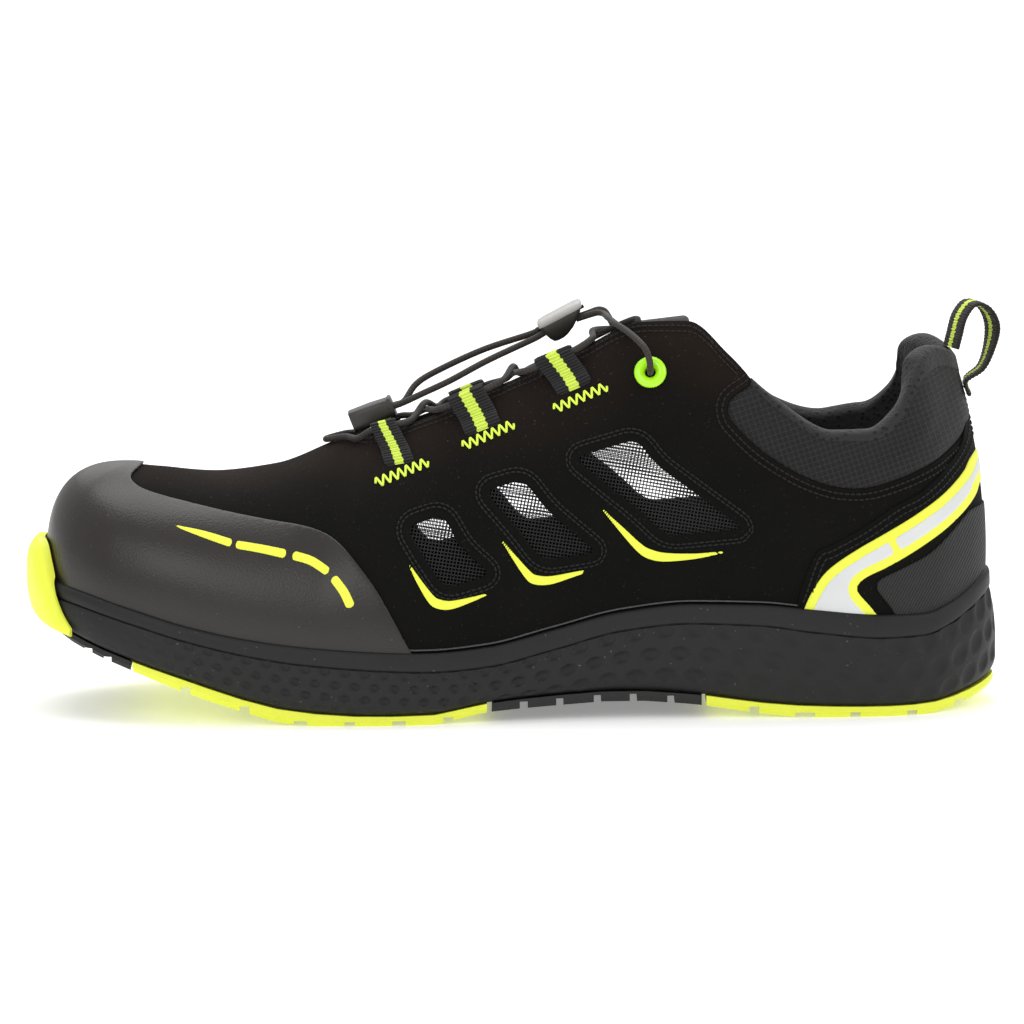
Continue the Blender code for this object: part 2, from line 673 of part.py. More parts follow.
def make_overlays():
    overlay("toe_cap", CAP_TURNS, SKIN_SHARES[1:], CAP_EDGE + CAP_FRONT, FILM, 0.5)
    gap = CLEARANCE / 2
    counter = shifted(COUNTER_EDGE, -gap) + shifted(STRIPE_TOP, gap)[::-1]
    overlay("heel_counter", HEEL_TURNS, HEEL_SHARES, counter, NUBUCK, 0.85)
    stripe = shifted(STRIPE_TOP, -gap) + list(STRIPE_FOOT)[::-1]
    overlay("reflective_stripe", HEEL_TURNS, HEEL_SHARES, stripe, SILVER, 0.4)
    overlay("heel_patch", HEEL_TURNS, HEEL_SHARES, PATCH_EDGE + (PATCH_CORNER,), RIBBED, 0.6)


# Webbing loops at the throat edge: the turn of each, half its width in turn and its backward slant.
LOOP_TURNS = (72.6, 84.2, 94.2)
LOOP_HALF = 2.0
LOOP_SLANT = 11.0
LOOP_THICK = 0.8
LOOP_NEAR = 0.4
LOOP_HOLD = 1.4
LOOP_DOWN = 1.0
LOOP_FOOT = 0.88
LOOP_ANGLES = (90, 30, -30, -90)
LOOP_TUCK = 2.5
CORD_RADIUS = 1.0


def edge_frame(side, turn):
    """The throat edge at one station: its point, the way up past the edge and the way out."""
    edge = skin(side, turn, 1.0)
    up = edge - skin(side, turn, 0.97)
    up /= np.linalg.norm(up)
    return edge, up, skin_normal(side, turn, 1.0)


def loop_centre(side, turn):
    """Where the cord runs through a loop, outside the upper and just under the throat edge."""
    edge, up, out = edge_frame(side, turn)
    return edge - LOOP_DOWN * up + (LOOP_NEAR + LOOP_THICK + LOOP_HOLD) * out


def loop_section(side, turn):
    """One hairpin section: up from its sewn foot, round the cord and down against the upper."""
    _, up, out = edge_frame(side, turn)
    centre = loop_centre(side, turn)
    faces = []
    for thick in (0.0, LOOP_THICK):
        radius = LOOP_HOLD + thick
        face = [skin(side, turn + LOOP_SLANT * (1 - LOOP_FOOT), LOOP_FOOT, LOOP_NEAR + thick)]
        for angle in LOOP_ANGLES:
            a = math.radians(angle)
            face.append(centre + radius * (math.cos(a) * up + math.sin(a) * out))
        face.append(centre - LOOP_TUCK * up - radius * out)
        faces.append(face)
    return [tuple(p) for p in faces[0] + faces[1][::-1]]


def make_loops():
    for side, word in SIDE_WORDS:
        for number, turn in enumerate(LOOP_TURNS, 1):
            sections = [loop_section(side, turn + step) for step in (-LOOP_HALF, LOOP_HALF)]
            finish(f"lace_loop_{word}_{number}", loft(sections), WEBBING, 0.8)


# Eyelet section as (radius, lift) round the hole's axis.
EYELET_SECTION = ((4.9, 0.4), (4.4, 1.3), (2.9, 1.6), (1.6, 1.0), (1.6, -2.4), (2.5, -2.4), (2.5, 0.4))
EYELET_SIDES = 12


def make_eyelets():
    for side, word in SIDE_WORDS:
        centre, normal, along, up = eyelet_frame(side)
        sections = []
        for a in np.linspace(0, 2 * math.pi, EYELET_SIDES + 1):
            ray = math.cos(a) * along + math.sin(a) * up
            sections.append([tuple(centre + r * ray + lift * normal) for r, lift in EYELET_SECTION])
        sections[-1] = sections[0]
        finish(f"eyelet_{word}", loft(sections, ends=(False, False)), LIME, 0.35)


def smooth_path(route, spacing):
    """Points at an even spacing along a smooth curve through the route's own points."""
    points = np.array(route, dtype=float)
    padded = np.vstack((2 * points[0] - points[1], points, 2 * points[-1] - points[-2]))
    fine = []
    for a, b, c, d in zip(padded, padded[1:], padded[2:], padded[3:]):
        for t in np.linspace(0, 1, 20, endpoint=False):
            fine.append(0.5 * (2 * b + (c - a) * t + (2 * a - 5 * b + 4 * c - d) * t * t
                               + (3 * b - a - 3 * c + d) * t ** 3))
    fine = np.array(fine + [points[-1]])
    run = np.concatenate(([0.0], np.cumsum(np.linalg.norm(np.diff(fine, axis=0), axis=1))))
    count = max(3, round(run[-1] / spacing) + 1)
    even = np.linspace(0, run[-1], count)
    return np.stack([np.interp(even, run, fine[:, k]) for k in range(3)], axis=1)


LACE_SIDES = 5


def tube(path):
    """A closed round length of lace along a path, its rings turned with the path."""
    heading = np.gradient(path, axis=0)
    heading /= np.linalg.norm(heading, axis=1, keepdims=True)
    sections = []
    for point, way in zip(path, heading):
        flat = np.cross(way, (0.0, 0.0, 1.0))
        flat /= np.linalg.norm(flat)
        rise = np.cross(flat, way)
        ring = []
        for a in np.linspace(0, 2 * math.pi, LACE_SIDES, endpoint=False):
            ring.append(tuple(point + CORD_RADIUS * (math.cos(a) * flat + math.sin(a) * rise)))
        sections.append(ring)
    return loft(sections)


CROSS_RISE = 2.2
LACE_STEP = 5.3
LOOP_ENTRY = LOOP_HALF + 0.5
EDGE_STEP = LOOP_ENTRY + 1.6
EDGE_UP = 1.7
EDGE_OUT = 0.2
FRONT_WAY = ((63.0, 0.99), (65.6, 0.968), (68.0, 0.966))
FRONT_LIFT = 1.45
HIDDEN_TURN = 103.0
HIDDEN_DEPTH = WALL + 1.9
HIDDEN_RUN = (4.0, 0.5, -2.5)


def edge_point(side, turn):
    """Where the cord goes over the throat edge."""
    edge, up, out = edge_frame(side, turn)
    return edge + EDGE_UP * up + EDGE_OUT * out


def lace_route(first):
    """One half of the lace: round the throat's front, loops on alternate sides, under the far flap."""
    route = [skin(-first, *FRONT_WAY[0], FRONT_LIFT)]
    route += [skin(first, turn, share, FRONT_LIFT) for turn, share in FRONT_WAY]
    side = first
    for turn, after in zip(LOOP_TURNS, LOOP_TURNS[1:] + (HIDDEN_TURN,)):
        if turn > LOOP_TURNS[0]:
            route.append(edge_point(side, turn - EDGE_STEP))
        for step in (-LOOP_ENTRY, 0.0, LOOP_ENTRY):
            route.append(loop_centre(side, turn + step))
        route.append(edge_point(side, turn + EDGE_STEP))
        between = (turn + after) / 2
        middle_s = float(UPPER("s", between))
        middle_z = float(UPPER("z", between) - UPPER("drop", between) / 2) + CROSS_RISE
        route.append(np.array((middle_s - LENGTH / 2, float(AXIS("y", middle_s)), middle_z)))
        side = -side
    edge, up, out = edge_frame(side, HIDDEN_TURN)
    route += [edge + run * up - HIDDEN_DEPTH * out for run in HIDDEN_RUN]
    return route


def make_crossings():
    """Both halves of the lace where it runs through the loops, joined where they cross."""
    halves = [tube(smooth_path(lace_route(side), LACE_STEP)) for side in SIDES]
    lace = finish("lace_crossings", halves[0], CORD, 0.8)
    carve(lace, halves[1], "UNION")


CORD_STEP = 5.0 * CORD_RADIUS


def cord(name, route):
    """A free stretch of the elastic lace, a round curve with closed ends."""
    path = smooth_path(route, CORD_STEP)
    line = bpy.data.curves.new(name, "CURVE")
    line.dimensions = "3D"
    line.bevel_depth = CORD_RADIUS * MM
    line.bevel_resolution = 2
    line.use_fill_caps = True
    spline = line.splines.new("POLY")
    spline.points.add(len(path) - 1)
    for point, place in zip(spline.points, path):
        point.co = (*(place * MM), 1.0)
    material = bpy.data.materials.new(name)
    material.use_nodes = True
    shader = material.node_tree.nodes["Principled BSDF"]
    shader.inputs["Base Color"].default_value = (*CORD, 1.0)
    shader.inputs["Roughness"].default_value = 0.8
    line.materials.append(material)
    thing = bpy.data.objects.new(name, line)
    bpy.context.scene.collection.objects.link(thing)


# Toggles: middle as (s, y, z), size along, across and up, and pitch towards the heel.
LOCK = {"middle": (165.0, 0.0, 118.0), "size": (15.0, 11.0, 7.0), "pitch": 28.0}
END = {"middle": (106.5, -2.5, 89.4), "size": (14.0, 9.0, 5.6), "pitch": 22.0}
TOGGLE_ROUND = 1.2
TOGGLE_EDGE = 1.9
TOGGLE_NOSE = 0.82
TOGGLE_CORNERS = ((-1, -1), (1, -1), (1, 1), (-1, 1))
LEAD = 3.0
CORD_GAP = 0.5
TAIL_GAP = 0.4
TAIL_LEAD = 2.5

# Free way of the cord from each eyelet over the throat edge to the lock.
TAIL_ROUTES = {
    MEDIAL: ((41.3, -31.9, 109.7), (40.0, -30.9, 113.1), (37.5, -27.4, 115.6), (34.6, -23.1, 117.5),
             (31.6, -18.8, 119.0), (30.0, -14.4, 119.7), (28.7, -10.2, 120.2), (27.7, -5.6, 120.6)),
    LATERAL: ((41.7, 32.2, 103.1), (40.4, 31.0, 106.5), (37.4, 26.9, 108.6), (34.5, 22.7, 110.7),
              (31.5, 18.6, 112.7), (30.3, 14.4, 115.2), (29.1, 10.2, 118.0), (27.8, 5.6, 120.2)),
}


def toggle_point(toggle, along, sideways, up):
    s, y, z = toggle["middle"]
    pitch = math.radians(toggle["pitch"])
    return np.array((s - LENGTH / 2 + along * math.cos(pitch) - up * math.sin(pitch), y + sideways,
                     z + along * math.sin(pitch) + up * math.cos(pitch)))


def make_toggle(name, toggle):
    """A moulded toggle: a tapered block with rounded edges."""
    length, width, height = toggle["size"]
    half = np.array((length, width, height)) / 2
    shoulder = half[0] - TOGGLE_ROUND
    stations = ((-half[0], TOGGLE_NOSE), (-shoulder, 1.0), (shoulder, 1.0), (half[0], TOGGLE_NOSE))
    sections = []
    for along, scale in stations:
        corners = [(a * half[1] * scale, b * half[2] * scale) for a, b in TOGGLE_CORNERS]
        outline = rounded(corners, TOGGLE_EDGE)
        sections.append([tuple(toggle_point(toggle, along, y, z)) for y, z in outline])
    finish(name, loft(sections), TOGGLE, 0.35)


def make_cords():
    """The free stretches: eyelet to lock on each side, and two from the lock to the cord end."""
    reach = LOCK["size"][0] / 2 + CORD_GAP
    for side, word in SIDE_WORDS:
        centre, normal, _, _ = eyelet_frame(side)
        cord(f"lace_tail_{word}", [
            centre - 1.5 * normal,
            centre + 2.5 * normal,
            *[np.array(place) for place in TAIL_ROUTES[side]],
            toggle_point(LOCK, reach + TAIL_GAP + TAIL_LEAD, side * 3.6, -2.6),
            toggle_point(LOCK, reach + TAIL_GAP, side * 2.6, -2.1),
        ])
    back = END["size"][0] / 2 + CORD_GAP
    cord("lace_end_upper", [
        toggle_point(LOCK, -reach, 2.2, 0.6),
        toggle_point(LOCK, -reach - LEAD, 2.4, 0.6),
        np.array((-9.3, 3.2, 108.5)),
        np.array((-23.2, 2.4, 102.2)),
        np.array((-30.0, 0.6, 98.2)),
        toggle_point(END, back + LEAD, -0.5, 0.0),
        toggle_point(END, back, -0.7, 0.0),
    ])
    cord("lace_end_lower", [
        toggle_point(LOCK, -reach, -2.2, -0.6),
        toggle_point(LOCK, -reach - LEAD, -2.6, -0.6),
        np.array((-8.0, -6.4, 106.4)),
        np.array((-19.5, -8.2, 100.4)),
        np.array((-27.5, -6.6, 96.4)),
        toggle_point(END, back + LEAD, -3.2, 0.0),
        toggle_point(END, back, -3.0, 0.0),
    ])


# Pull loop: middle line as (s, z) from the collar top over and down to the heel back.
PULL_LINE = ((284.6, 109.4), (285.6, 113.5), (287.2, 119.4), (290.6, 123.4), (294.9, 121.6), (297.2, 116.4),
             (296.4, 109.8), (293.9, 103.4))
PULL_HALF = 5.5
PULL_THICK = 1.2
PULL_TWIST = math.radians(22.0)
PULL_SETTLE = 3
PULL_MIDDLE = 1.0
PULL_SEAT = CLEARANCE + COAT + CLEARANCE + PULL_THICK / 2
PULL_SEAT_SHARES = (0.9, 0.84)


def make_pull_loop():
    """A folded webbing band, twisted where it stands free and flat where it is sewn on."""
    line = [np.array((s - LENGTH / 2, z)) for s, z in PULL_LINE]
    seat = [skin(MEDIAL, 180.0, share, PULL_SEAT) for share in PULL_SEAT_SHARES]
    line += [np.array((p[0], p[2])) for p in seat]
    middle = np.array(line)
    heading = np.gradient(middle, axis=0)
    heading /= np.linalg.norm(heading, axis=1, keepdims=True)
    free = len(PULL_LINE)
    sections = []
    for i, (place, way) in enumerate(zip(middle, heading)):
        away = np.array((-way[1], way[0])) * PULL_THICK / 2
        twist = PULL_TWIST * min(1.0, max(0, free - i) / PULL_SETTLE)
        section = []
        for sideways, offset in ((-1, 1), (1, 1), (1, -1), (-1, -1)):
            x, z = place + offset * away
            out = sideways * PULL_HALF
            section.append((x - out * math.sin(twist), PULL_MIDDLE + out * math.cos(twist), z))
        sections.append(section)
    finish("pull_loop", loft(sections), PULL_WEBBING, 0.85)


def clear_scene():
    for thing in list(bpy.data.objects):
        bpy.data.objects.remove(thing)


clear_scene()
make_tread()
make_bumper()
finish("midsole", sole_loft(midsole_rows, ALL_TURNS), FOAM, 0.75)
finish("insole", sole_loft(insole_rows, ALL_TURNS), LINING, 0.9)
make_upper()
make_collar()
make_tongue()
make_overlays()
make_loops()
make_eyelets()
make_crossings()
make_toggle("cord_lock", LOCK)
make_toggle("cord_end", END)
make_cords()
make_pull_loop()
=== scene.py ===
"""Looks of a low safety sandal for the right foot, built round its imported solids.

The toe points along -X, the inner side faces -Y and the floor is at Z = 0. Sizes in the shoe's own
terms are in millimetres: s runs from the toe tip to the heel, z up from the floor, and "turn" goes
round each side of the sole's outline, 0 degrees at the toe tip and 180 at the heel.
"""

import math

import bmesh
import bpy
import numpy as np
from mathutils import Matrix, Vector


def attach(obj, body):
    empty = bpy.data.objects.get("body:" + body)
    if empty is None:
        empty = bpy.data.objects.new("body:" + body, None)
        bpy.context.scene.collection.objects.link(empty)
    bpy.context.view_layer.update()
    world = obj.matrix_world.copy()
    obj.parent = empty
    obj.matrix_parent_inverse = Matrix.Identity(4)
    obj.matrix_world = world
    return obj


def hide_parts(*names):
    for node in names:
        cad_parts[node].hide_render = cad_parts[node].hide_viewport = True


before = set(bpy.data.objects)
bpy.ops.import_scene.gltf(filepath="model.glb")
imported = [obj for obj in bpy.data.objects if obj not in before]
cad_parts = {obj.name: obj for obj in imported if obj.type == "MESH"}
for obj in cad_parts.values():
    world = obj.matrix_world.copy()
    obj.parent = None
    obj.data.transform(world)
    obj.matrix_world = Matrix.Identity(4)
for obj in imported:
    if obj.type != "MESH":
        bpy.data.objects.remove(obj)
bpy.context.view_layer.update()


# Stage: a plain pale floor under soft studio light, seen by a long lens from just above the floor.
# It only shows the shoe, and no part of it belongs to the object.
VIEW_WIDTH = 0.316
VIEW_DISTANCE = 3.0
VIEW_PITCH = math.radians(8.5)
VIEW_MIDDLE = Vector((-0.0006, 0.0, 0.0583))
FLOOR_SIZE = 40.0
FLOOR_GREY = 0.9
FLOOR_GLOW = 0.26
SKY_STRENGTH = 0.66

# Softboxes: place, aim, width, depth and power.
SOFTBOXES = {
    "light_top": ((-0.10, 0.25, 1.10), (0.0, 0.0, 0.06), 1.1, 0.7, 7.0),
    "light_front": ((-0.45, -1.20, 0.75), (0.0, 0.0, 0.05), 0.9, 0.7, 4.0),
    "light_heel": ((1.00, -0.35, 0.70), (0.08, 0.0, 0.06), 0.6, 0.6, 2.5),
    "light_back": ((0.0, 2.4, 1.6), (0.0, 2.2, 0.0), 3.0, 2.2, 24.0),
}

scene = bpy.context.scene
scene.view_settings.view_transform = "Standard"
lens = bpy.data.cameras.new("camera")
lens.lens = lens.sensor_width * VIEW_DISTANCE / VIEW_WIDTH
lens.clip_end = 2 * FLOOR_SIZE
camera = bpy.data.objects.new("camera", lens)
view_back = Vector((0.0, -math.cos(VIEW_PITCH), math.sin(VIEW_PITCH)))
camera.location = VIEW_MIDDLE + view_back * VIEW_DISTANCE
camera.rotation_euler = (math.pi / 2 - VIEW_PITCH, 0.0, 0.0)
scene.collection.objects.link(camera)
scene.camera = camera

for name, (place, aim, width, depth, power) in SOFTBOXES.items():
    light = bpy.data.lights.new(name, "AREA")
    light.shape = "RECTANGLE"
    light.size = width
    light.size_y = depth
    light.energy = power
    lamp = bpy.data.objects.new(name, light)
    lamp.location = place
    lamp.rotation_euler = (Vector(aim) - Vector(place)).to_track_quat("-Z", "Y").to_euler()
    scene.collection.objects.link(lamp)

world = bpy.data.worlds.new("studio")
world.use_nodes = True
world.node_tree.nodes["Background"].inputs["Color"].default_value = (1.0, 1.0, 1.0, 1.0)
world.node_tree.nodes["Background"].inputs["Strength"].default_value = SKY_STRENGTH
scene.world = world

floor_mesh = bpy.data.meshes.new("floor")
half_floor = FLOOR_SIZE / 2
floor_mesh.from_pydata([(x, y, 0.0) for x, y in ((-half_floor, -half_floor), (half_floor, -half_floor),
                                                 (half_floor, half_floor), (-half_floor, half_floor))],
                       [], [(0, 1, 2, 3)])
floor = bpy.data.objects.new("floor", floor_mesh)
scene.collection.objects.link(floor)
floor_paper = bpy.data.materials.new("floor_paper")
floor_paper.use_nodes = True
floor_shader = floor_paper.node_tree.nodes["Principled BSDF"]
floor_shader.inputs["Base Color"].default_value = (FLOOR_GREY, FLOOR_GREY, FLOOR_GREY, 1.0)
floor_shader.inputs["Roughness"].default_value = 0.9
floor_shader.inputs["Emission Color"].default_value = (1.0, 1.0, 1.0, 1.0)
floor_shader.inputs["Emission Strength"].default_value = FLOOR_GLOW
floor_mesh.materials.append(floor_paper)


# Midsole: one foam cup moulded in a single shot, with a plain rim band over a thin groove and
# staggered rows of shallow dimples round its side that grow from the ball to the heel.
MM = 0.001
LENGTH = 300.0
SOLE_FRONT = 4.0
SOLE_LENGTH = LENGTH - SOLE_FRONT
CLEARANCE = 0.3
MEDIAL = -1
LATERAL = 1
SIDES = (MEDIAL, LATERAL)
SIDE_WORDS = ((MEDIAL, "medial"), (LATERAL, "lateral"))


class Table:
    """Rows of named columns, read between rows on a smooth curve that never overshoots."""

    def __init__(self, columns, rows):
        values = np.array(rows, dtype=float)
        self.key = values[:, 0]
        self.step = np.diff(self.key)
        self.columns = {}
        for i, name in enumerate(columns):
            slope = np.diff(values[:, i]) / self.step
            turning = slope[:-1] * slope[1:] <= 0
            total = np.where(turning, 1.0, slope[:-1] + slope[1:])
            inner = np.where(turning, 0.0, 2 * slope[:-1] * slope[1:] / total)
            self.columns[name] = (values[:, i], np.concatenate(([slope[0]], inner, [slope[-1]])))

    def __call__(self, name, at):
        y, tangent = self.columns[name]
        at = np.clip(np.asarray(at, dtype=float), self.key[0], self.key[-1])
        row = np.clip(np.searchsorted(self.key, at, side="right") - 1, 0, len(self.step) - 1)
        span = self.step[row]
        t = (at - self.key[row]) / span
        rise = y[row + 1] - y[row]
        start = tangent[row] * span
        end = tangent[row + 1] * span
        return y[row] + t * (start + t * (3 * rise - 2 * start - end + t * (start + end - 2 * rise)))


# Plan outline of the sole, each side's distance from the shoe's axis.
PLAN = Table(("turn", "medial", "lateral", "tuck"), (
    (0, -8.0, -8.0, 3.2),
    (10, -21.0, 5.5, 3.2),
    (20, -33.0, 18.0, 3.2),
    (32, -43.5, 32.0, 3.2),
    (46, -50.0, 43.2, 3.2),
    (60, -53.0, 51.0, 3.2),
    (72, -54.0, 54.0, 3.2),
    (84, -49.0, 53.0, 3.2),
    (96, -42.3, 49.3, 3.2),
    (110, -38.2, 43.8, 3.2),
    (124, -38.0, 41.0, 3.4),
    (138, -36.0, 38.0, 3.8),
    (150, -30.0, 31.5, 4.4),
    (161, -19.5, 21.5, 5.0),
    (171, -8.5, 10.5, 5.4),
    (180, 1.0, 1.0, 5.6),
))

# Heights along the sole: tread face, seam over the tread, footbed, and the rim on each side.
SOLE = Table(("s", "tread", "seam", "floor", "medial", "lateral", "band"), (
    (4, 27.0, 30.0, 35.5, 40.8, 40.8, 4.5),
    (14, 22.5, 25.5, 34.0, 39.5, 39.5, 4.5),
    (33, 15.8, 19.0, 30.0, 34.8, 34.8, 4.6),
    (50, 9.6, 13.7, 26.0, 30.2, 30.4, 4.8),
    (68, 4.0, 8.0, 22.4, 26.6, 27.0, 5.2),
    (85, 0.0, 4.4, 19.8, 24.4, 25.0, 5.6),
    (108, 0.0, 3.2, 18.2, 22.8, 23.6, 5.8),
    (125, 0.0, 3.3, 18.0, 22.2, 23.2, 6.0),
    (143, 3.4, 6.4, 19.4, 23.6, 24.0, 6.2),
    (162, 4.6, 8.0, 22.0, 28.0, 27.0, 6.2),
    (183, 5.6, 9.0, 24.6, 33.1, 29.8, 6.0),
    (205, 4.2, 7.6, 26.0, 35.3, 31.4, 6.2),
    (225, 1.4, 5.0, 26.6, 35.0, 32.2, 6.6),
    (242, 0.0, 3.8, 26.6, 33.4, 32.2, 7.2),
    (262, 0.0, 3.4, 26.6, 31.6, 31.6, 7.4),
    (276, 0.0, 3.6, 26.6, 31.4, 31.4, 7.0),
    (286, 1.6, 5.0, 26.8, 34.0, 34.0, 6.6),
    (294, 3.6, 7.0, 27.2, 38.0, 38.0, 6.4),
    (300, 5.6, 9.0, 27.4, 41.6, 41.6, 6.4),
))

# Side of the foam from its foot (share 0) to the groove (share 1): inset from the outline.
FOAM_SIDE = Table(("share", "inset"), ((0, 3.0), (0.08, 1.5), (0.2, 0.6), (0.6, 0.0), (0.94, 0.35), (1, 0.7)))
FOAM_ROWS = 46
FOAM_FADE = 0.14

# Groove and rim band: inset from the outline, height over the groove or (last rows) under the rim.
GROOVE_ROWS = ((1.5, 0.05), (1.55, 0.3), (0.8, 0.55), (0.62, 1.0), (0.6, 2.0))
RIM_ROWS = ((0.7, -1.6), (0.95, -0.8), (1.3, -0.3), (1.9, 0.0))

# Dimples: pitch along the side, pitch of the rows, half length, half height and depth.
DIMPLES = Table(("s", "pitch", "row", "along", "up", "depth"), (
    (4, 5.8, 3.7, 1.5, 1.1, 0.0),
    (30, 5.8, 3.7, 1.5, 1.1, 0.1),
    (55, 5.9, 3.75, 1.7, 1.25, 0.7),
    (130, 6.2, 4.0, 1.9, 1.4, 0.95),
    (160, 7.8, 5.4, 2.7, 1.8, 1.15),
    (195, 9.0, 6.6, 3.3, 2.1, 1.15),
    (215, 9.8, 7.4, 3.7, 2.5, 1.0),
    (245, 11.0, 8.2, 4.2, 2.9, 0.85),
    (280, 9.0, 8.2, 3.6, 3.2, 0.9),
    (300, 8.2, 8.2, 3.4, 3.3, 0.95),
))
DIMPLE_FIRST = 0.25
SOLE_STEP = 0.52


def plan_point(side, turn, inset):
    """A point of the plan outline, moved in by inset, and the outline's own s and way out there."""
    column = "medial" if side == MEDIAL else "lateral"
    step = 0.2
    ends = (np.clip(turn - step, 0, 180), np.clip(turn + step, 0, 180))
    along = [SOLE_FRONT + SOLE_LENGTH * (1 - np.cos(np.radians(end))) / 2 for end in ends]
    sides = [PLAN(column, end) for end in ends]
    forward = along[1] - along[0]
    sideways = sides[1] - sides[0]
    tip = (np.asarray(turn) <= 0) | (np.asarray(turn) >= 180)
    forward = np.where(tip, 0.0, forward)
    size = np.hypot(forward, sideways)
    out_s = -side * sideways / size
    out_y = side * forward / size
    s = SOLE_FRONT + SOLE_LENGTH * (1 - np.cos(np.radians(turn))) / 2
    y = PLAN(column, turn)
    return s - inset * out_s, y - inset * out_y, s, out_s, out_y


def rim_height(side, s):
    return SOLE("medial" if side == MEDIAL else "lateral", s)


def even_turns(spacing, start=0.0, end=180.0):
    """Stations round the outline at an even spacing in millimetres, alike on both sides."""
    fine = np.linspace(start, end, 2000)
    runs = []
    for side in SIDES:
        s, y, _, _, _ = plan_point(side, fine, 0.0)
        runs.append(np.concatenate(([0.0], np.cumsum(np.hypot(np.diff(s), np.diff(y))))))
    run = (runs[0] + runs[1]) / 2
    return np.interp(np.linspace(0, run[-1], round(run[-1] / spacing) + 1), run, fine)


def mesh_object(name, points, faces, material, sharp=None):
    """A piece at the origin from points in millimetres; doubled points are merged."""
    shell = bmesh.new()
    corners = [shell.verts.new(Vector(point) * MM) for point in points]
    for face in faces:
        shell.faces.new([corners[i] for i in face])
    bmesh.ops.remove_doubles(shell, verts=shell.verts, dist=0.004 * MM)
    bmesh.ops.dissolve_degenerate(shell, edges=shell.edges, dist=0.001 * MM)
    bmesh.ops.recalc_face_normals(shell, faces=shell.faces)
    return bmesh_object(name, shell, [material], sharp)


def bmesh_object(name, shell, materials, sharp=None):
    mesh = bpy.data.meshes.new(name)
    shell.to_mesh(mesh)
    shell.free()
    for material in materials:
        mesh.materials.append(material)
    mesh.shade_smooth()
    if sharp:
        mesh.set_sharp_from_angle(angle=math.radians(sharp))
    thing = bpy.data.objects.new(name, mesh)
    scene.collection.objects.link(thing)
    return thing


def wear(thing, slot, *nodes):
    """A finished piece: it rides on the shoe and stands for its solids; slot is not used."""
    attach(thing, "root")
    if nodes:
        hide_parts(*nodes)
    return thing


def loft_faces(count, size, ends=(False, False)):
    """Faces of a tube through count closed loops of size points each."""
    faces = []
    for i in range(count - 1):
        for j in range(size):
            k = (j + 1) % size
            faces.append((i * size + j, i * size + k, (i + 1) * size + k, (i + 1) * size + j))
    if ends[0]:
        faces.append(tuple(range(size)))
    if ends[1]:
        faces.append(tuple(range((count - 1) * size, count * size)))
    return faces


def lofted(name, sections, material, sharp, ends=(True, True)):
    """A piece through closed loops of points, one section after the other."""
    faces = loft_faces(len(sections), len(sections[0]), ends)
    return mesh_object(name, np.concatenate(sections), faces, material, sharp)


class Value:
    """A shader value of one finish; arithmetic on it adds Math nodes."""

    def __init__(self, finish, socket):
        self.finish = finish
        self.socket = socket

    def math(self, operation, first, second):
        return self.finish.node("ShaderNodeMath", {"operation": operation}, {0: first, 1: second})

    def __add__(self, other):
        return self.math("ADD", self, other)

    def __radd__(self, other):
        return self.math("ADD", other, self)

    def __sub__(self, other):
        return self.math("SUBTRACT", self, other)

    def __rsub__(self, other):
        return self.math("SUBTRACT", other, self)

    def __mul__(self, other):
        return self.math("MULTIPLY", self, other)


class Finish:
    """A procedural material: a Principled shader, its fixed sockets and the nodes that feed it."""

    def __init__(self, name, **fixed):
        self.material = bpy.data.materials.new(name)
        self.material.use_nodes = True
        self.tree = self.material.node_tree
        self.shader = self.tree.nodes["Principled BSDF"]
        for word, value in fixed.items():
            self.shader.inputs[word.replace("_", " ").title().replace("Ior", "IOR")].default_value = value

    def node(self, kind, settings, sockets, out=0):
        made = self.tree.nodes.new(kind)
        for key, value in settings.items():
            setattr(made, key, value)
        for key, value in sockets.items():
            self.feed(made.inputs[key], value)
        return Value(self, made.outputs[out])

    def feed(self, socket, value):
        if isinstance(value, Value):
            self.tree.links.new(value.socket, socket)
        else:
            socket.default_value = value

    def place(self):
        return self.node("ShaderNodeTexCoord", {}, {}, "Object")

    def attribute(self, name):
        return self.node("ShaderNodeAttribute", {"attribute_name": name}, {}, "Fac")

    def noise(self, scale, detail, rough=0.5):
        return self.node("ShaderNodeTexNoise", {}, {
            "Vector": self.place(), "Scale": scale, "Detail": detail, "Roughness": rough})

    def ramp(self, value, low, high):
        """0 below low, 1 above high, and an even climb between them."""
        return self.node("ShaderNodeMapRange", {"interpolation_type": "SMOOTHSTEP"}, {
            "Value": value, "From Min": low, "From Max": high})

    def mix(self, factor, first, second):
        """One colour to the other by a factor."""
        return self.node("ShaderNodeMix", {"data_type": "RGBA"}, {
            0: factor, 6: first if isinstance(first, Value) else (*first, 1.0),
            7: second if isinstance(second, Value) else (*second, 1.0)}, 2)

    def apply(self, operation, value):
        """A function of one value, such as its sine."""
        return self.node("ShaderNodeMath", {"operation": operation}, {0: value})

    def axis(self, value, word):
        return self.node("ShaderNodeSeparateXYZ", {}, {0: value}, word)

    def done(self, colour=None, roughness=None, height=None, depth=0.0002, strength=1.0, coat=None):
        """Link what varies: colour, roughness, coat, and a bump of that depth in metres."""
        for word, value in (("Base Color", colour), ("Roughness", roughness), ("Coat Weight", coat)):
            if value is not None:
                self.feed(self.shader.inputs[word], value)
        if height is not None:
            bump = self.node("ShaderNodeBump", {}, {
                "Height": height, "Distance": depth, "Strength": strength})
            self.feed(self.shader.inputs["Normal"], bump)
        return self.material


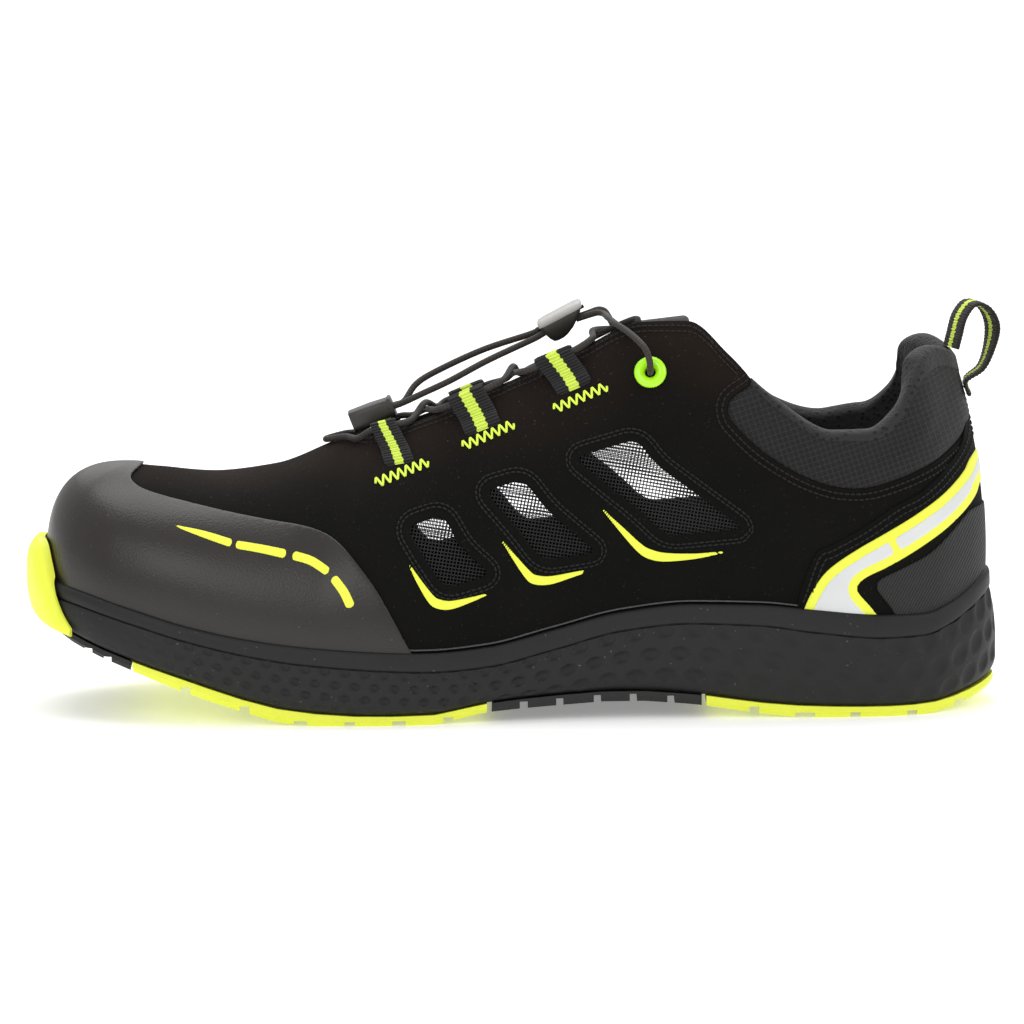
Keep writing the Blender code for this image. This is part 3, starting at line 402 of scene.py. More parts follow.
def foam_finish():
    """Moulded dark foam: fine pores, faint blotches, a few pale dust specks."""
    foam = Finish("foam", specular_ior_level=0.32)
    pores = foam.noise(2600.0, 3.0)
    blotch = foam.noise(120.0, 3.0)
    dust = foam.ramp(foam.noise(900.0, 1.0), 0.74, 0.8)
    colour = foam.mix(blotch, (0.0072, 0.0072, 0.0074), (0.0138, 0.0137, 0.0138))
    colour = foam.mix(dust * 0.35, colour, (0.2, 0.2, 0.2))
    return foam.done(colour, 0.42 + blotch * 0.25, pores, 0.00006, 0.6)


def dimple_depth(turns, run, height, groove):
    """How far the staggered dimples sink into the foam's side."""
    s = SOLE_FRONT + SOLE_LENGTH * (1 - np.cos(np.radians(turns))) / 2
    pitch = DIMPLES("pitch", s)
    phase = np.concatenate(([0.0], np.cumsum(np.diff(run) * 2 / (pitch[1:] + pitch[:-1]))))
    phase = phase - (phase[-1] - math.floor(phase[-1]))
    row = (groove - height) / DIMPLES("row", s)[:, None] - DIMPLE_FIRST
    number = np.round(row)
    along = phase[:, None] + 0.5 * (number % 2)
    off_along = (along - np.round(along)) * pitch[:, None] / DIMPLES("along", s)[:, None]
    off_up = (row - number) * (DIMPLES("row", s) / DIMPLES("up", s))[:, None]
    dish = np.clip(1 - off_along ** 2 - off_up ** 2, 0, 1)
    return np.where(number >= 0, DIMPLES("depth", s)[:, None] * dish ** 0.8, 0.0)


def foam_half(side, turns):
    """Rows of one side of the cup, from its foot over groove and rim to the footbed."""
    s, y, key, out_s, out_y = plan_point(side, turns, 0.0)
    run = np.concatenate(([0.0], np.cumsum(np.hypot(np.diff(s), np.diff(y)))))
    seam = SOLE("seam", key)[:, None]
    rim = rim_height(side, key)[:, None]
    groove = rim - SOLE("band", key)[:, None]
    tuck = PLAN("tuck", turns)[:, None]
    draw = tuck - PLAN("tuck", 0)
    share = np.linspace(0, 1, FOAM_ROWS)[None, :]
    height = seam + share * (groove - seam)
    inset = FOAM_SIDE("inset", share) + draw * share
    fade = np.clip(share / FOAM_FADE, 0, 1)
    inset = inset + dimple_depth(turns, run, height, groove) * fade * fade
    rows = [(inset[:, i], height[:, i]) for i in range(FOAM_ROWS)]
    rows += [((depth + draw)[:, 0], (groove + up)[:, 0]) for depth, up in GROOVE_ROWS]
    rows += [((depth + draw)[:, 0], (rim + up)[:, 0]) for depth, up in RIM_ROWS]
    rows.append(((tuck - CLEARANCE)[:, 0], (rim - 0.1)[:, 0]))
    rows.append(((tuck - CLEARANCE)[:, 0], SOLE("floor", key)))
    points = []
    for depth, up in rows:
        points.append(np.stack((s - depth * out_s - LENGTH / 2, y - depth * out_y, up), axis=-1))
    return np.stack(points, axis=1)


def make_midsole():
    turns = even_turns(SOLE_STEP)
    halves = {side: foam_half(side, turns) for side in SIDES}
    loops = np.concatenate((halves[MEDIAL], halves[LATERAL][:, ::-1]), axis=1)
    midsole = lofted("foam_midsole", loops, foam_finish(), 40, (False, False))
    wear(midsole, "foam", "midsole")


make_midsole()


# Outsole: moulded rubber pads glued under the foam, yellow under the ball and heel and black under the
# toe and waist, with lugs between cross slots, and a yellow guard that wraps the front of the toe.
def rubber_finish(name, base, tint, gloss):
    """Moulded rubber: faint mottling, a soft skin and light scuffs."""
    rubber = Finish(name, specular_ior_level=0.4)
    mottle = rubber.noise(220.0, 4.0)
    grain = rubber.noise(1800.0, 2.0)
    colour = rubber.mix(mottle, base, tint)
    return rubber.done(colour, gloss + mottle * 0.2, grain + mottle * 0.6, 0.00008, 0.5)


YELLOW = (0.87, 0.93, 0.075)
YELLOW_TINT = (0.78, 0.85, 0.055)
yellow_rubber = rubber_finish("yellow_rubber", YELLOW, YELLOW_TINT, 0.38)
black_rubber = rubber_finish("black_rubber", (0.009, 0.009, 0.009), (0.018, 0.018, 0.017), 0.45)

for name, rubber in (("outsole_toe", black_rubber), ("outsole_waist", black_rubber),
                     ("outsole_forefoot", yellow_rubber), ("outsole_heel", yellow_rubber)):
    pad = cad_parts[name]
    pad.data.materials.clear()
    pad.data.materials.append(rubber)

# Toe guard: lower edge, upper edge and how far it stands proud.
GUARD = Table(("turn", "low", "top", "proud"), (
    (0, 35.0, 52.2, 1.0),
    (5, 31.5, 52.2, 1.0),
    (8, 30.0, 51.4, 0.97),
    (10, 29.2, 49.4, 0.95),
    (12.5, 28.3, 45.4, 0.9),
    (15, 27.5, 40.6, 0.85),
    (19.4, 26.2, 32.0, 0.65),
    (22.5, 25.2, 27.6, 0.35),
))
GUARD_END = 22.5
GUARD_FACE = Table(("share", "stand"), (
    (0, 2.6), (0.04, 3.1), (0.25, 3.9), (0.5, 4.0), (0.75, 3.5), (0.94, 1.9), (1, 0.9)))
GUARD_BACK = Table(("z", "inset"), (
    (24.0, -0.4), (36.5, -0.4), (40.5, 0.2), (42.5, 1.2), (48.0, 1.5), (55.0, 1.9)))
GUARD_LEAST = (0.8, 0.1)
GUARD_COLUMNS = 50
GUARD_ROWS = 28


def make_guard():
    turns = np.linspace(0, GUARD_END, GUARD_COLUMNS)
    shares = np.linspace(0, 1, GUARD_ROWS)
    sections = []
    for side, turn in [(MEDIAL, t) for t in turns[::-1]] + [(LATERAL, t) for t in turns[1:]]:
        low = GUARD("low", turn)
        z = low + shares * (GUARD("top", turn) - low)
        inset = GUARD_BACK("inset", z)
        stand = GUARD("proud", turn) * GUARD_FACE("stand", shares)
        face = np.minimum(inset - GUARD_LEAST[0], -GUARD_LEAST[1] - stand)
        loop = []
        for depth in (inset, face[::-1]):
            s, y, _, _, _ = plan_point(side, turn, depth)
            loop.append(np.stack((s - LENGTH / 2, y, z if depth is inset else z[::-1]), axis=-1))
        sections.append(np.concatenate(loop))
    guard = lofted("toe_guard", sections, yellow_rubber, 45)
    wear(guard, "yellow_rubber", "toe_bumper")


make_guard()


# Upper: one shell of black nubuck with three windows punched in each side, lined with black knitted
# mesh, lasted into the foam cup. The toe, heel and cuff panels are sewn or welded over it.
THROAT_TURN = 65.0
WALL = 2.2
CUP_SHARE = 0.12

# Sections of the upper: where each meridian ends on top, how it leaves rim and top edge, and how far
# the outer side's top edge lies lower than the inner side's.
UPPER = Table(("turn", "s", "half", "z", "flare", "rise", "reach", "lean", "drop"), (
    (0, 30.0, 0.0, 74.5, 1.0, 20.0, 19.0, 0.0, 0.0),
    (20, 35.0, 0.0, 74.3, 1.5, 20.0, 22.0, 0.0, 0.0),
    (32, 44.0, 0.0, 73.3, 2.2, 20.0, 26.0, 0.0, 0.0),
    (46, 60.0, 0.0, 71.8, 3.0, 22.0, 30.0, 2.0, 0.0),
    (56, 78.0, 0.0, 74.4, 3.0, 24.0, 28.0, 7.0, 0.0),
    (65, 97.5, 0.0, 82.0, 2.5, 25.0, 26.0, 14.0, 0.0),
    (70, 106.5, 10.0, 83.8, 2.0, 26.0, 24.0, 28.0, 1.0),
    (80, 126.0, 14.0, 90.9, 1.5, 26.0, 26.0, 37.0, 2.5),
    (88, 146.5, 15.5, 100.2, 1.0, 26.0, 28.0, 42.0, 4.0),
    (96, 168.0, 17.5, 110.0, 1.0, 28.0, 30.0, 46.0, 5.5),
    (104, 189.0, 19.5, 119.8, 1.0, 28.0, 30.0, 52.0, 7.0),
    (110, 203.0, 22.0, 120.3, 1.5, 26.0, 28.0, 60.0, 8.0),
    (116, 215.5, 27.0, 110.5, 2.0, 24.0, 24.0, 70.0, 8.5),
    (122, 229.0, 30.5, 96.6, 2.5, 20.0, 20.0, 78.0, 7.0),
    (130, 247.0, 33.0, 86.0, 3.0, 17.0, 16.0, 84.0, 1.5),
    (136, 258.0, 32.5, 86.3, 3.0, 17.0, 16.0, 84.0, 0.0),
    (142, 266.5, 30.0, 92.0, 3.0, 18.0, 18.0, 82.0, 0.0),
    (148, 271.5, 27.0, 102.0, 2.8, 22.0, 22.0, 80.0, 0.0),
    (154, 274.5, 23.0, 108.0, 2.4, 24.0, 24.0, 78.0, 0.0),
    (162, 278.5, 15.0, 110.2, 1.6, 25.0, 25.0, 76.0, 0.0),
    (171, 283.0, 7.0, 108.4, 0.8, 25.0, 24.0, 75.0, 0.0),
    (180, 285.0, 0.0, 106.5, 0.5, 25.0, 24.0, 75.0, 0.0),
))

# The foot's axis drifts towards the big toe.
AXIS = Table(("s", "y"), ((0, -8.0), (30, -7.0), (60, -5.2), (98, -3.0), (150, -1.0), (200, 0.2), (300, 1.0)))
FOOT_GAP = 0.5


def bare_skin(side, turn, share):
    """Outer face of the upper: share 0 at the footbed, CUP_SHARE at the rim, 1 at the top edge."""
    turn = np.asarray(turn, dtype=float)
    share = np.asarray(share, dtype=float)
    s, y, key, out_s, out_y = plan_point(side, turn, PLAN("tuck", turn))
    floor_z = SOLE("floor", key) + FOOT_GAP
    rim = rim_height(side, key) + CLEARANCE
    top_s = UPPER("s", turn)
    top_y = AXIS("y", top_s) + side * UPPER("half", turn)
    top_z = UPPER("z", turn) - (UPPER("drop", turn) if side == LATERAL else 0.0)
    flare = UPPER("flare", turn)
    reach = UPPER("reach", turn)
    lean = np.radians(UPPER("lean", turn))
    t = np.clip((share - CUP_SHARE) / (1 - CUP_SHARE), 0, 1)
    low = (1 - t) ** 3
    middle = 3 * t * (1 - t) ** 2
    high = 3 * t * t * (1 - t)
    last = t ** 3
    spread = reach * np.cos(lean)
    px = low * s + middle * (s + out_s * flare) + high * (top_s + out_s * spread) + last * top_s
    py = low * y + middle * (y + out_y * flare) + high * (top_y + out_y * spread) + last * top_y
    drop = reach * np.sin(lean)
    pz = low * rim + middle * (rim + UPPER("rise", turn)) + high * (top_z - drop) + last * top_z
    sunk = np.clip(1 - share / CUP_SHARE, 0, 1)
    pz = np.where(share < CUP_SHARE, rim + (floor_z - rim) * sunk, pz)
    return np.stack(np.broadcast_arrays(px - LENGTH / 2, py, pz), axis=-1)


RIDGE_FRONT = 9.0


def skin_normal(side, turn, share):
    """The way out of one side, taken a little behind the front end of the toe's ridge."""
    step_turn = 0.3
    step_share = 0.004
    share = np.asarray(share, dtype=float)
    least = 1 + RIDGE_FRONT * np.clip(share * 10 - 9, 0, 1)
    turn = np.clip(np.asarray(turn, dtype=float), least, 179)
    along = bare_skin(side, turn + step_turn, share) - bare_skin(side, turn - step_turn, share)
    up = (bare_skin(side, turn, np.clip(share + step_share, 0, 1))
          - bare_skin(side, turn, np.clip(share - step_share, 0, 1)))
    normal = -side * np.cross(along, up)
    return normal / np.linalg.norm(normal, axis=-1, keepdims=True)


def skin_out(side, turn, share):
    """The way out of the upper; both sides agree where they meet."""
    normal = skin_normal(side, turn, share)
    turn = np.asarray(turn, dtype=float)
    share = np.asarray(share, dtype=float)
    joined = (turn <= 0) | (turn >= 180) | ((share >= 1) & (turn <= THROAT_TURN))
    normal = np.where(joined[..., None], normal + skin_normal(-side, turn, share), normal)
    return normal / np.linalg.norm(normal, axis=-1, keepdims=True)


def skin(side, turn, share, lift=0.0):
    """A point at lift outside the upper's outer face."""
    lift = np.asarray(lift, dtype=float)[..., None]
    return bare_skin(side, turn, share) + skin_out(side, turn, share) * lift


def rounded(corners, radius, steps=6):
    """A closed outline through its corners with each corner turned on a soft arc."""
    outline = []
    for i, corner in enumerate(corners):
        here = np.array(corner, dtype=float)
        before = np.array(corners[i - 1], dtype=float) - here
        after = np.array(corners[(i + 1) % len(corners)], dtype=float) - here
        cut = min(radius, np.linalg.norm(before) / 2.2, np.linalg.norm(after) / 2.2)
        start = here + before / np.linalg.norm(before) * cut
        end = here + after / np.linalg.norm(after) * cut
        for t in np.linspace(0, 1, steps + 1):
            outline.append((1 - t) ** 2 * start + 2 * t * (1 - t) * here + t * t * end)
    return np.array(outline)


def curve(points, per_span=8, closed=False):
    """A smooth line through side-view points."""
    p = np.array(points, dtype=float)
    if closed:
        p = np.vstack((p[-1], p, p[0], p[1]))
    else:
        p = np.vstack((2 * p[0] - p[1], p, 2 * p[-1] - p[-2]))
    line = []
    for a, b, c, d in zip(p, p[1:], p[2:], p[3:]):
        for t in np.linspace(0, 1, per_span, endpoint=False):
            line.append(0.5 * (2 * b + (c - a) * t + (2 * a - 5 * b + 4 * c - d) * t * t
                               + (3 * b - a - 3 * c + d) * t ** 3))
    if not closed:
        line.append(p[-2])
    return np.array(line)


def depth_in(loop, s, z):
    """Distance from points to a closed side-view loop, positive inside it."""
    shape = np.shape(s)
    p = np.stack((np.ravel(s), np.ravel(z)), axis=-1)
    a = np.asarray(loop)
    b = np.roll(a, -1, axis=0)
    edge = b - a
    best = np.full(len(p), 1e9)
    odd = np.zeros(len(p), dtype=bool)
    for start, end, run in zip(a, b, edge):
        away = p - start
        t = np.clip(away @ run / max(run @ run, 1e-12), 0, 1)
        best = np.minimum(best, np.hypot(*(away - t[:, None] * run).T))
        spans = (start[1] > p[:, 1]) != (end[1] > p[:, 1])
        with np.errstate(divide="ignore", invalid="ignore"):
            crossing = start[0] + (p[:, 1] - start[1]) / (end[1] - start[1]) * run[0]
        odd ^= spans & (p[:, 0] < crossing)
    return np.where(odd, best, -best).reshape(shape)


NO_SHIFT = {MEDIAL: 0.0, LATERAL: 0.0}


def within(loop, margin=0.0, shift=NO_SHIFT):
    """A keep for a layer: what lies in a side-view loop, moved by the shift of each side."""
    def keep(side, s, z, turn, share):
        return depth_in(loop, s - shift[side], z) + margin

    return keep


def clip_patch(turn, share, keep):
    """Triangles of a grid of turn and share, cut along the line where keep is 0."""
    n, m = turn.shape
    flat = np.stack((turn.ravel(), share.ravel()), axis=-1)
    d = keep.ravel()
    index = np.arange(n * m).reshape(n, m)
    corners = (index[:-1, :-1], index[1:, :-1], index[1:, 1:], index[:-1, 1:])
    quads = np.stack([corner.ravel() for corner in corners], axis=-1)
    inside = d >= 0
    count = inside[quads].sum(axis=1)
    faces = [tuple(q) for q in quads[count == 4]]
    points = [tuple(p) for p in flat]
    made = {}

    def crossing(i, j):
        key = (min(i, j), max(i, j))
        if key not in made:
            t = d[i] / (d[i] - d[j])
            made[key] = len(points)
            points.append(tuple(flat[i] + t * (flat[j] - flat[i])))
        return made[key]

    for quad in quads[(count > 0) & (count < 4)]:
        for tri in ((quad[0], quad[1], quad[2]), (quad[0], quad[2], quad[3])):
            loop = []
            for k in range(3):
                i, j = tri[k], tri[(k + 1) % 3]
                if inside[i]:
                    loop.append(i)
                if inside[i] != inside[j]:
                    loop.append(crossing(i, j))
            if len(loop) > 2:
                faces.append(tuple(loop))
    used = sorted({i for face in faces for i in face})
    renumber = {old: new for new, old in enumerate(used)}
    kept = np.array([points[i] for i in used])
    return kept[:, 0], kept[:, 1], [tuple(renumber[i] for i in face) for face in faces]


EDGE_ROUND = ((0.22, -0.06), (0.38, -0.22), (0.42, -0.45))


def lay(shell, side, turns, shares, keep, lift):
    """Add to a mesh the stretch of the upper's face where keep(side, s, z, turn, share) is over 0.

    lift is its height over the upper, a number or a function of the same values.
    """
    out = shell.verts.layers.float_vector["out"]
    where = shell.verts.layers.float["share"]
    turn, share = np.meshgrid(turns, shares, indexing="ij")
    at = bare_skin(side, turn, share)
    kept = keep(side, at[..., 0] + LENGTH / 2, at[..., 2], turn, share)
    if not (kept > 0).any():
        return
    turn, share, faces = clip_patch(turn, share, kept)
    way = skin_out(side, turn, share)
    base = bare_skin(side, turn, share)
    height = lift
    if callable(lift):
        height = lift(side, base[:, 0] + LENGTH / 2, base[:, 2], turn, share)[:, None]
    corners = []
    for place, normal, part in zip(base + way * height, way, share):
        vert = shell.verts.new(place * MM)
        vert[out] = normal
        vert[where] = part
        corners.append(vert)
    for face in faces:
        shell.faces.new([corners[i] for i in (face if side == MEDIAL else face[::-1])])


def panel(name, stretches, lift, thick, materials, edge=EDGE_ROUND, weld=0.22):
    """A closed layer on both sides of the upper over stretches of turns, shares and keep."""
    shell = bmesh.new()
    shell.verts.layers.float_vector.new("out")
    shell.verts.layers.float.new("share")
    for side in SIDES:
        for turns, shares, keep in stretches:
            lay(shell, side, turns, shares, keep, lift)
    out = shell.verts.layers.float_vector["out"]
    bmesh.ops.remove_doubles(shell, verts=shell.verts, dist=weld * MM)
    bmesh.ops.dissolve_degenerate(shell, edges=shell.edges, dist=0.02 * MM)
    close_layer(shell, out, thick, edge)
    return bmesh_object(name, shell, materials, 50)


def close_layer(shell, out, thick, edge):
    """Round the open edges of a face outwards and down, and close it with a second face below."""
    top = list(shell.faces)
    verts = list(shell.verts)
    rims = [e for e in shell.edges if len(e.link_faces) == 1]
    spread = {}
    for e in rims:
        loop = e.link_loops[0]
        a = loop.vert
        b = loop.link_loop_next.vert
        normal = (a[out] + b[out]).normalized()
        away = (b.co - a.co).normalized().cross(normal)
        for vert in (a, b):
            spread[vert] = spread.get(vert, Vector((0.0, 0.0, 0.0))) + away
    rings = [{v: v for v in spread}]
    for outward, drop in edge:
        ring = {}
        for vert, away in spread.items():
            side = away.normalized() if away.length > 1e-6 else away
            made = shell.verts.new(vert.co + side * outward * MM + vert[out] * drop * MM)
            made[out] = vert[out]
            ring[vert] = made
        rings.append(ring)
    below = {}
    for vert in verts:
        made = shell.verts.new(vert.co - vert[out] * thick * MM)
        made[out] = vert[out]
        below[vert] = made
    rings.append({v: below[v] for v in spread})
    for e in rims:
        loop = e.link_loops[0]
        a = loop.vert
        b = loop.link_loop_next.vert
        for upper_ring, lower_ring in zip(rings, rings[1:]):
            shell.faces.new((upper_ring[b], upper_ring[a], lower_ring[a], lower_ring[b]))
    for face in top:
        made = shell.faces.new([below[v] for v in reversed(face.verts)])
        made.material_index = 1
    shell.normal_update()


# Windows in each side of the upper, corners as (s, z).
WINDOWS = (
    ((116.5, 60.2), (128.5, 64.0), (134.2, 54.0), (144.0, 45.2), (129.0, 41.0), (121.9, 51.4)),
    ((140.2, 70.6), (153.0, 74.2), (160.2, 65.0), (176.5, 51.2), (158.5, 48.8), (151.2, 58.4)),
    ((167.4, 80.4), (187.5, 86.4), (194.0, 78.0), (221.5, 58.0), (196.5, 55.6), (187.6, 64.3)),
)
WINDOW_ROUND = 4.2
WINDOW_LOOPS = [rounded(corners, WINDOW_ROUND) for corners in WINDOWS]
WINDOW_SHIFT = {MEDIAL: 0.0, LATERAL: -5.5}
EYELET_TURN = 104.8
EYELET_SHARE = 0.834
EYELET_HOLE = 2.9

# Lower edge of the ankle cuff, from its front top round to the heel.
CUFF_LINE = (
    (221.6, 140.0), (221.6, 102.0), (215.6, 97.5), (215.2, 92.5), (218.6, 88.0), (225.3, 81.8),
    (233.6, 76.4), (241.0, 72.8), (249.0, 70.5), (258.0, 70.3), (267.0, 72.6), (277.0, 76.4),
    (283.3, 79.8), (289.0, 84.0), (315.0, 84.0),
)
CUFF_SHAPE = np.vstack((CUFF_LINE[0], curve(CUFF_LINE[1:-1], 5), CUFF_LINE[-1], (315.0, 140.0)))
UPPER_STEP = 1.5
SHELL_SHARES = np.concatenate(([0.0, 0.06], np.linspace(CUP_SHARE, 1, 62)))
SHELL_TURNS = np.unique(np.append(even_turns(UPPER_STEP), THROAT_TURN))


def nubuck_finish():
    """Black nubuck: a short velvet nap with fine pale flecks, and a painted brown sheen that grows towards
    the top edge of the upper.
    """
    nubuck = Finish("nubuck", sheen_weight=0.02, sheen_roughness=0.5, specular_ior_level=0.07)
    nap = nubuck.noise(2300.0, 3.0, rough=0.65)
    cloud = nubuck.noise(38.0, 3.0)
    fleck = nubuck.ramp(nubuck.noise(1500.0, 1.0), 0.7, 0.78)
    # Painted sheen: a brown lightening that climbs from share 0.6 to the top edge of the upper, standing in
    # for light caught by the nap.
    top_sheen = nubuck.ramp(nubuck.attribute("share"), 0.6, 1.0)
    colour = nubuck.mix(cloud, (0.0036, 0.0036, 0.0033), (0.0066, 0.0063, 0.0056))
    colour = nubuck.mix(top_sheen * cloud, colour, (0.021, 0.0128, 0.0092))
    # Pale dust flecks everywhere, made stronger towards the top edge as part of the painted sheen.
    colour = nubuck.mix(fleck * (top_sheen * 0.25 + 0.2), colour, (0.11, 0.10, 0.085))
    return nubuck.done(colour, 0.78 + nap * 0.2, nap, 0.00022, 0.7)


def lining_finish():
    """Black spacer mesh: a knitted face of small round holes."""
    lining = Finish("lining_mesh", specular_ior_level=0.3, sheen_weight=0.1)
    cells = lining.node("ShaderNodeTexVoronoi", {"feature": "F1"}, {
        "Vector": lining.place(), "Scale": 520.0, "Randomness": 0.75}, "Distance")
    hole = 1 - lining.ramp(cells, 0.22, 0.42)
    colour = lining.mix(hole, (0.018, 0.0185, 0.0185), (0.003, 0.003, 0.003))
    return lining.done(colour, 0.75, cells * -1.0 + 1.0 - hole * 0.6, 0.0005, 0.8)


nubuck = nubuck_finish()
lining = lining_finish()


def shell_keep(side, s, z, turn, share):
    """What is left of the shell outside its windows, eyelet hole and cuff."""
    kept = -depth_in(CUFF_SHAPE, s, z)
    for loop in WINDOW_LOOPS:
        kept = np.minimum(kept, -depth_in(loop, s - WINDOW_SHIFT[side], z))
    hole = skin(side, EYELET_TURN, EYELET_SHARE)
    at = bare_skin(side, turn, share)
    return np.minimum(kept, np.linalg.norm(at - hole, axis=-1) - EYELET_HOLE)


def make_shell():
    shell = panel("nubuck_shell", [(SHELL_TURNS, SHELL_SHARES, shell_keep)], 0.0, WALL, [nubuck, lining])
    wear(shell, "nubuck", "upper")


make_shell()


# Window mesh: an open knitted net of black thread, laminated to the back of the nubuck. It shows in the
# three windows of each side.
NET_PITCH = 1.05
NET_TILT = math.radians(-10.0)
NET_THREAD = 0.17
NET_LIFT = -1.3
NET_MARGIN = 2.0
NET_WAVE = 0.05


def on_skin(side, s, z):
    """Turn and share of the points of the upper that the side view shows at s and z."""
    s = np.asarray(s, dtype=float)
    z = np.asarray(z, dtype=float)
    turn = np.degrees(np.arccos(np.clip(1 - 2 * (s - SOLE_FRONT) / SOLE_LENGTH, -1, 1)))
    share = np.full_like(turn, 0.6)
    for _ in range(14):
        here = bare_skin(side, turn, share)
        by_turn = (bare_skin(side, turn + 0.05, share) - here) / 0.05
        by_share = (bare_skin(side, turn, share + 0.001) - here) / 0.001
        miss_s = s - LENGTH / 2 - here[..., 0]
        miss_z = z - here[..., 2]
        size = by_turn[..., 0] * by_share[..., 2] - by_share[..., 0] * by_turn[..., 2]
        size = np.where(np.abs(size) < 1e-3, 1e-3, size)
        turn = turn + np.clip((miss_s * by_share[..., 2] - by_share[..., 0] * miss_z) / size, -9, 9)
        share = share + np.clip((by_turn[..., 0] * miss_z - by_turn[..., 2] * miss_s) / size, -0.15, 0.15)
        turn = np.clip(turn, 0.1, 179.9)
        share = np.clip(share, CUP_SHARE - 0.02, 0.998)
    return turn, share


class Nodes:
    """A Geometry Nodes tree: named inputs, nodes made by one method, and the piece that it makes."""

    def __init__(self, name, inputs):
        self.tree = bpy.data.node_groups.new(name, "GeometryNodeTree")
        self.tree.interface.new_socket("Geometry", in_out="INPUT", socket_type="NodeSocketGeometry")
        self.values = {}
        for word, value in inputs.items():
            socket = self.tree.interface.new_socket(word, in_out="INPUT", socket_type="NodeSocketFloat")
            self.values[socket.identifier] = value
        self.tree.interface.new_socket("Geometry", in_out="OUTPUT", socket_type="NodeSocketGeometry")
        self.start = self.tree.nodes.new("NodeGroupInput").outputs

    def node(self, kind, sockets, settings=None, out=0):
        made = self.tree.nodes.new(kind)
        for key, value in (settings or {}).items():
            setattr(made, key, value)
        for key, value in sockets.items():
            if isinstance(value, bpy.types.NodeSocket):
                self.tree.links.new(value, made.inputs[key])
            else:
                made.inputs[key].default_value = value
        return made.outputs[out]

    def piece(self, name, lines, result, material):
        """Run the tree over a mesh of lines and keep what it makes as a plain mesh."""
        real = self.node("GeometryNodeRealizeInstances", {0: result})
        dressed = self.node("GeometryNodeSetMaterial", {0: real, "Material": material})
        end = self.tree.nodes.new("NodeGroupOutput")
        self.tree.links.new(dressed, end.inputs[0])
        carrier = bpy.data.objects.new(name + "_lines", lines)
        scene.collection.objects.link(carrier)
        modifier = carrier.modifiers.new("nodes", "NODES")
        modifier.node_group = self.tree
        for identifier, value in self.values.items():
            modifier[identifier] = value
        mesh = bpy.data.meshes.new_from_object(carrier.evaluated_get(bpy.context.evaluated_depsgraph_get()))
        carrier.modifiers.clear()
        bpy.data.objects.remove(carrier)
        mesh.name = name
        mesh.shade_smooth()
        if not mesh.materials:
            mesh.materials.append(material)
        thing = bpy.data.objects.new(name, mesh)
        scene.collection.objects.link(thing)
        return thing


def thread_nodes(name, radius, sides):
    """A tree that makes round thread along every line."""
    nodes = Nodes(name, {"Radius": radius * MM})
    line = nodes.node("GeometryNodeMeshToCurve", {0: nodes.start[0]})
    ring = nodes.node("GeometryNodeCurvePrimitiveCircle", {
        "Resolution": sides, "Radius": nodes.start["Radius"]})
    return nodes, nodes.node("GeometryNodeCurveToMesh", {0: line, 1: ring, "Fill Caps": True})


def lines_mesh(name, points, edges):
    mesh = bpy.data.meshes.new(name)
    mesh.from_pydata([tuple(p * MM) for p in points], edges, [])
    return mesh


def net_lines():
    """Rows of thread and the threads across them over every window."""
    points = []
    edges = []
    tilt_cos = math.cos(NET_TILT)
    tilt_sin = math.sin(NET_TILT)
    for side in SIDES:
        for loop in WINDOW_LOOPS:
            middle = loop.mean(axis=0)
            reach = int(np.abs(loop - middle).max() * 1.25 / NET_PITCH) + 3
            rows = np.arange(-reach, reach + 1)
            columns = np.arange(-2 * reach, 2 * reach + 1)
            row, column = np.meshgrid(rows, columns, indexing="ij")
            along = column * NET_PITCH / 2
            up = row * NET_PITCH + np.where((column + row) % 2 == 0, NET_WAVE, -NET_WAVE)
            s = middle[0] + along * tilt_cos - up * tilt_sin
            z = middle[1] + along * tilt_sin + up * tilt_cos
            kept = depth_in(loop, s, z) > -NET_MARGIN
            number = np.full(kept.shape, -1)
            number[kept] = len(points) + np.arange(kept.sum())
            turn, share = on_skin(side, s[kept] + WINDOW_SHIFT[side], z[kept])
            points.extend(skin(side, turn, share, np.full(turn.shape, NET_LIFT)))
            beside = kept[:, :-1] & kept[:, 1:]
            edges += list(zip(number[:, :-1][beside], number[:, 1:][beside]))
            over = kept[:-1] & kept[1:] & (column % 2 == 0)[:-1]
            edges += list(zip(number[:-1][over], number[1:][over]))
    return lines_mesh("net_lines", np.array(points), [(int(a), int(b)) for a, b in edges])


def thread_finish(name, base, shine=0.2):
    thread = Finish(name, specular_ior_level=shine, sheen_weight=0.08)
    twist = thread.noise(1600.0, 2.0)
    return thread.done(thread.mix(twist, base, tuple(1.6 * c for c in base)), 0.7, twist, 0.0001, 0.5)


black_thread = thread_finish("black_thread", (0.008, 0.008, 0.008))
net_yarn = thread_finish("net_yarn", (0.014, 0.014, 0.014))


def make_net():
    nodes, net = thread_nodes("net_thread", NET_THREAD, 4)
    wear(nodes.piece("window_mesh", net_lines(), net, net_yarn), "lining")


make_net()


# Bite line: a thin bead of glossy black cement, squeezed out all round where the upper goes into the
# sole and stuck to both.
BEAD_RADIUS = 0.42
BEAD_SHARE = CUP_SHARE + 0.006
BEAD_LIFT = 0.15


def cement_finish():
    cement = Finish("cement", specular_ior_level=0.7, coat_roughness=0.06)
    lump = cement.noise(700.0, 2.0)
    colour = cement.mix(lump, (0.004, 0.004, 0.004), (0.012, 0.012, 0.012))
    return cement.done(colour, 0.16, lump, 0.0004, 0.7, 0.8)


def make_bead():
    turns = even_turns(0.9)
    ring = []
    for side, way in ((MEDIAL, turns), (LATERAL, turns[-2:0:-1])):
        ring.append(skin(side, way, np.full(way.shape, BEAD_SHARE), np.full(way.shape, BEAD_LIFT)))
    points = np.vstack(ring)
    edges = [(i, (i + 1) % len(points)) for i in range(len(points))]
    nodes, bead = thread_nodes("bead", BEAD_RADIUS, 8)
    lines = lines_mesh("bead_line", points, edges)
    wear(nodes.piece("cement_bead", lines, bead, cement_finish()), "black_rubber")


make_bead()


